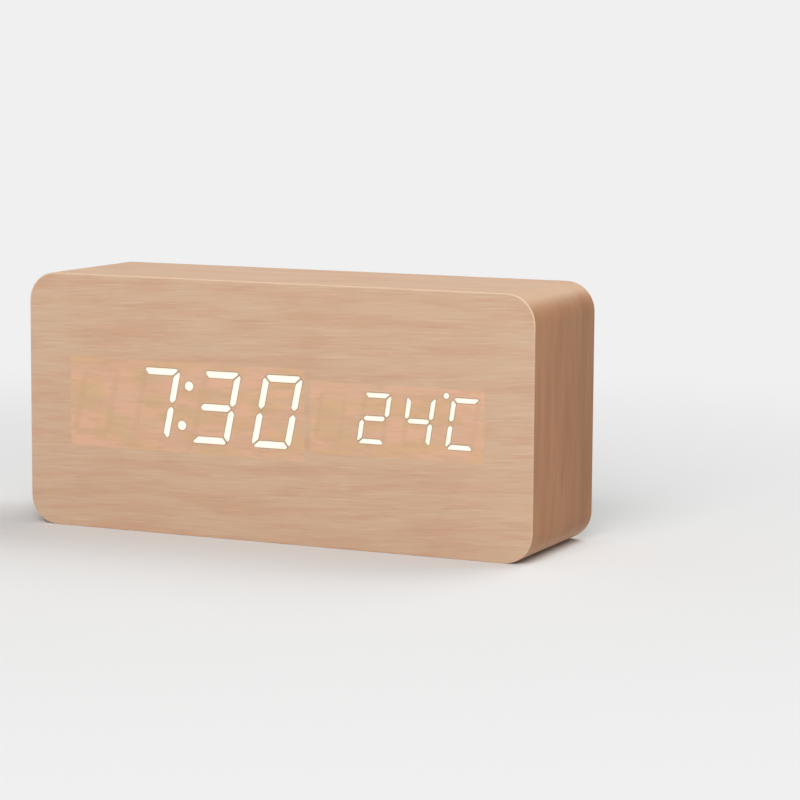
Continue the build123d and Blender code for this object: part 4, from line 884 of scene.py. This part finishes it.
def makeContacts(look):
    mesh = bmesh.new()
    low, high = corners("usb_tongue")
    middle = (low.x + high.x) / 2
    underside = (low.z + high.z) / 2 - look["drop"]
    for place in range(look["count"]):
        across = middle + (place - (look["count"] - 1) / 2) * look["pitch"]
        spot = Vector((across, high.y - look["setBack"] - look["length"] / 2, underside)) * mm
        size = Matrix.Diagonal((look["width"] * mm, look["length"] * mm, look["thickness"] * mm, 1))
        strip = bmesh.ops.create_cube(mesh, size=1, matrix=Matrix.Translation(spot) @ size)["verts"]
        edges = list(dict.fromkeys(edge for vert in strip for edge in vert.link_edges))
        soften(mesh, edges, look["softening"], 1)
    gold = makeMetal("contactGold", look["gold"], look["dull"], look["roughness"])
    makePiece("socketContacts", mesh, [gold], "case", None)


makeContacts(contactLook)
print("socket contacts")


# Every other CAD node takes its finish

def dress(material, *names):
    for name in names:
        for materialSlot in nodes[name].material_slots:
            materialSlot.material = material


dress(makeFrontFilm(frontLook), "front_film")
dress(makeWrapFilm(wrapLook), "side_wrap")
dress(makeFlatFilm("baseFilm", 1, 90.0), "base_strip")
dress(makeFlatFilm("rearFilm", 2, 120.0), "rear_film")
dress(makeFibreboard(boardLook), "case_ring", "front_board", "rear_board")
dress(makeUnlitBar(pipeLook), "time_bars_unlit", "temperature_bars_unlit")
dress(makeCircuit(circuitLook), "display_board", "key_board")
dress(makePackage("display_board", packageLook), "controller_chip", "driver_chips")

mouldedLook = {  # colour, speck, roughness, depth of the skin, CAD nodes
    "reflectorWhite": (
        pipeLook["mould"], shade(214, 210, 198), 0.5, 0.015, "time_reflector", "temperature_reflector",
    ),
    "switchBlack": (shade(26, 26, 28), shade(40, 40, 42), 0.42, 0.01, "switch_bodies", "buzzer"),
    "plungerBrown": (
        shade(92, 66, 48), shade(120, 90, 66), 0.4, 0.01, "set_plunger", "down_plunger", "up_plunger",
    ),
    "nylonWhite": (shade(226, 222, 208), shade(240, 238, 228), 0.4, 0.01, "board_spacers"),
    "plugWhite": (shade(232, 229, 218), shade(244, 242, 236), 0.45, 0.01, "cable_plugs"),
    "tongueBlack": (shade(24, 24, 26), shade(60, 60, 60), 0.4, 0.01, "usb_tongue"),
    "beadEpoxy": (shade(36, 30, 26), shade(70, 58, 48), 0.25, 0.01, "thermistor"),
    "chipYellow": (shade(238, 214, 96), shade(250, 238, 170), 0.4, 0.01, "led_chips"),
}
metalPartLook = {  # colour, dull colour, roughness, CAD nodes
    "screwSteel": ((0.62, 0.61, 0.58), (0.4, 0.38, 0.34), 0.3, "board_screws", "key_board_screws"),
    "nickelStrip": ((0.72, 0.69, 0.62), (0.5, 0.47, 0.4), 0.26, "contact_plates", "contact_springs"),
    "socketSteel": ((0.66, 0.66, 0.65), (0.45, 0.45, 0.44), 0.24, "usb_shell"),
    "crystalCan": ((0.74, 0.74, 0.72), (0.5, 0.5, 0.48), 0.2, "quartz_crystal"),
    "microphoneCan": ((0.7, 0.7, 0.69), (0.5, 0.5, 0.48), 0.32, "microphone"),
}
sleevedLook = {  # colour, worn colour, its stripe's colour, middle and half width if any, CAD node
    "capacitorBlue": (shade(24, 30, 66), shade(32, 40, 80), (shade(186, 190, 198), -45.0, 0.7), "capacitor"),
    "redWire": (shade(176, 28, 24), shade(190, 40, 34), (), "positive_lead"),
    "blackWire": (shade(26, 26, 28), shade(40, 40, 42), (), "negative_lead"),
    "cableGrey": (shade(178, 180, 184), shade(164, 166, 170), (shade(196, 60, 50), 37.5, 0.5), "flat_cable"),
}
for name, (colour, speck, roughness, depth, *parts) in mouldedLook.items():
    dress(makeMoulding(name, colour, speck, roughness, depth), *parts)
for name, (colour, dull, roughness, *parts) in metalPartLook.items():
    dress(makeMetal(name, colour, dull, roughness), *parts)
for name, (colour, worn, stripe, part) in sleevedLook.items():
    dress(makeSleeve(name, colour, worn, *stripe), part)
print("CAD nodes dressed")
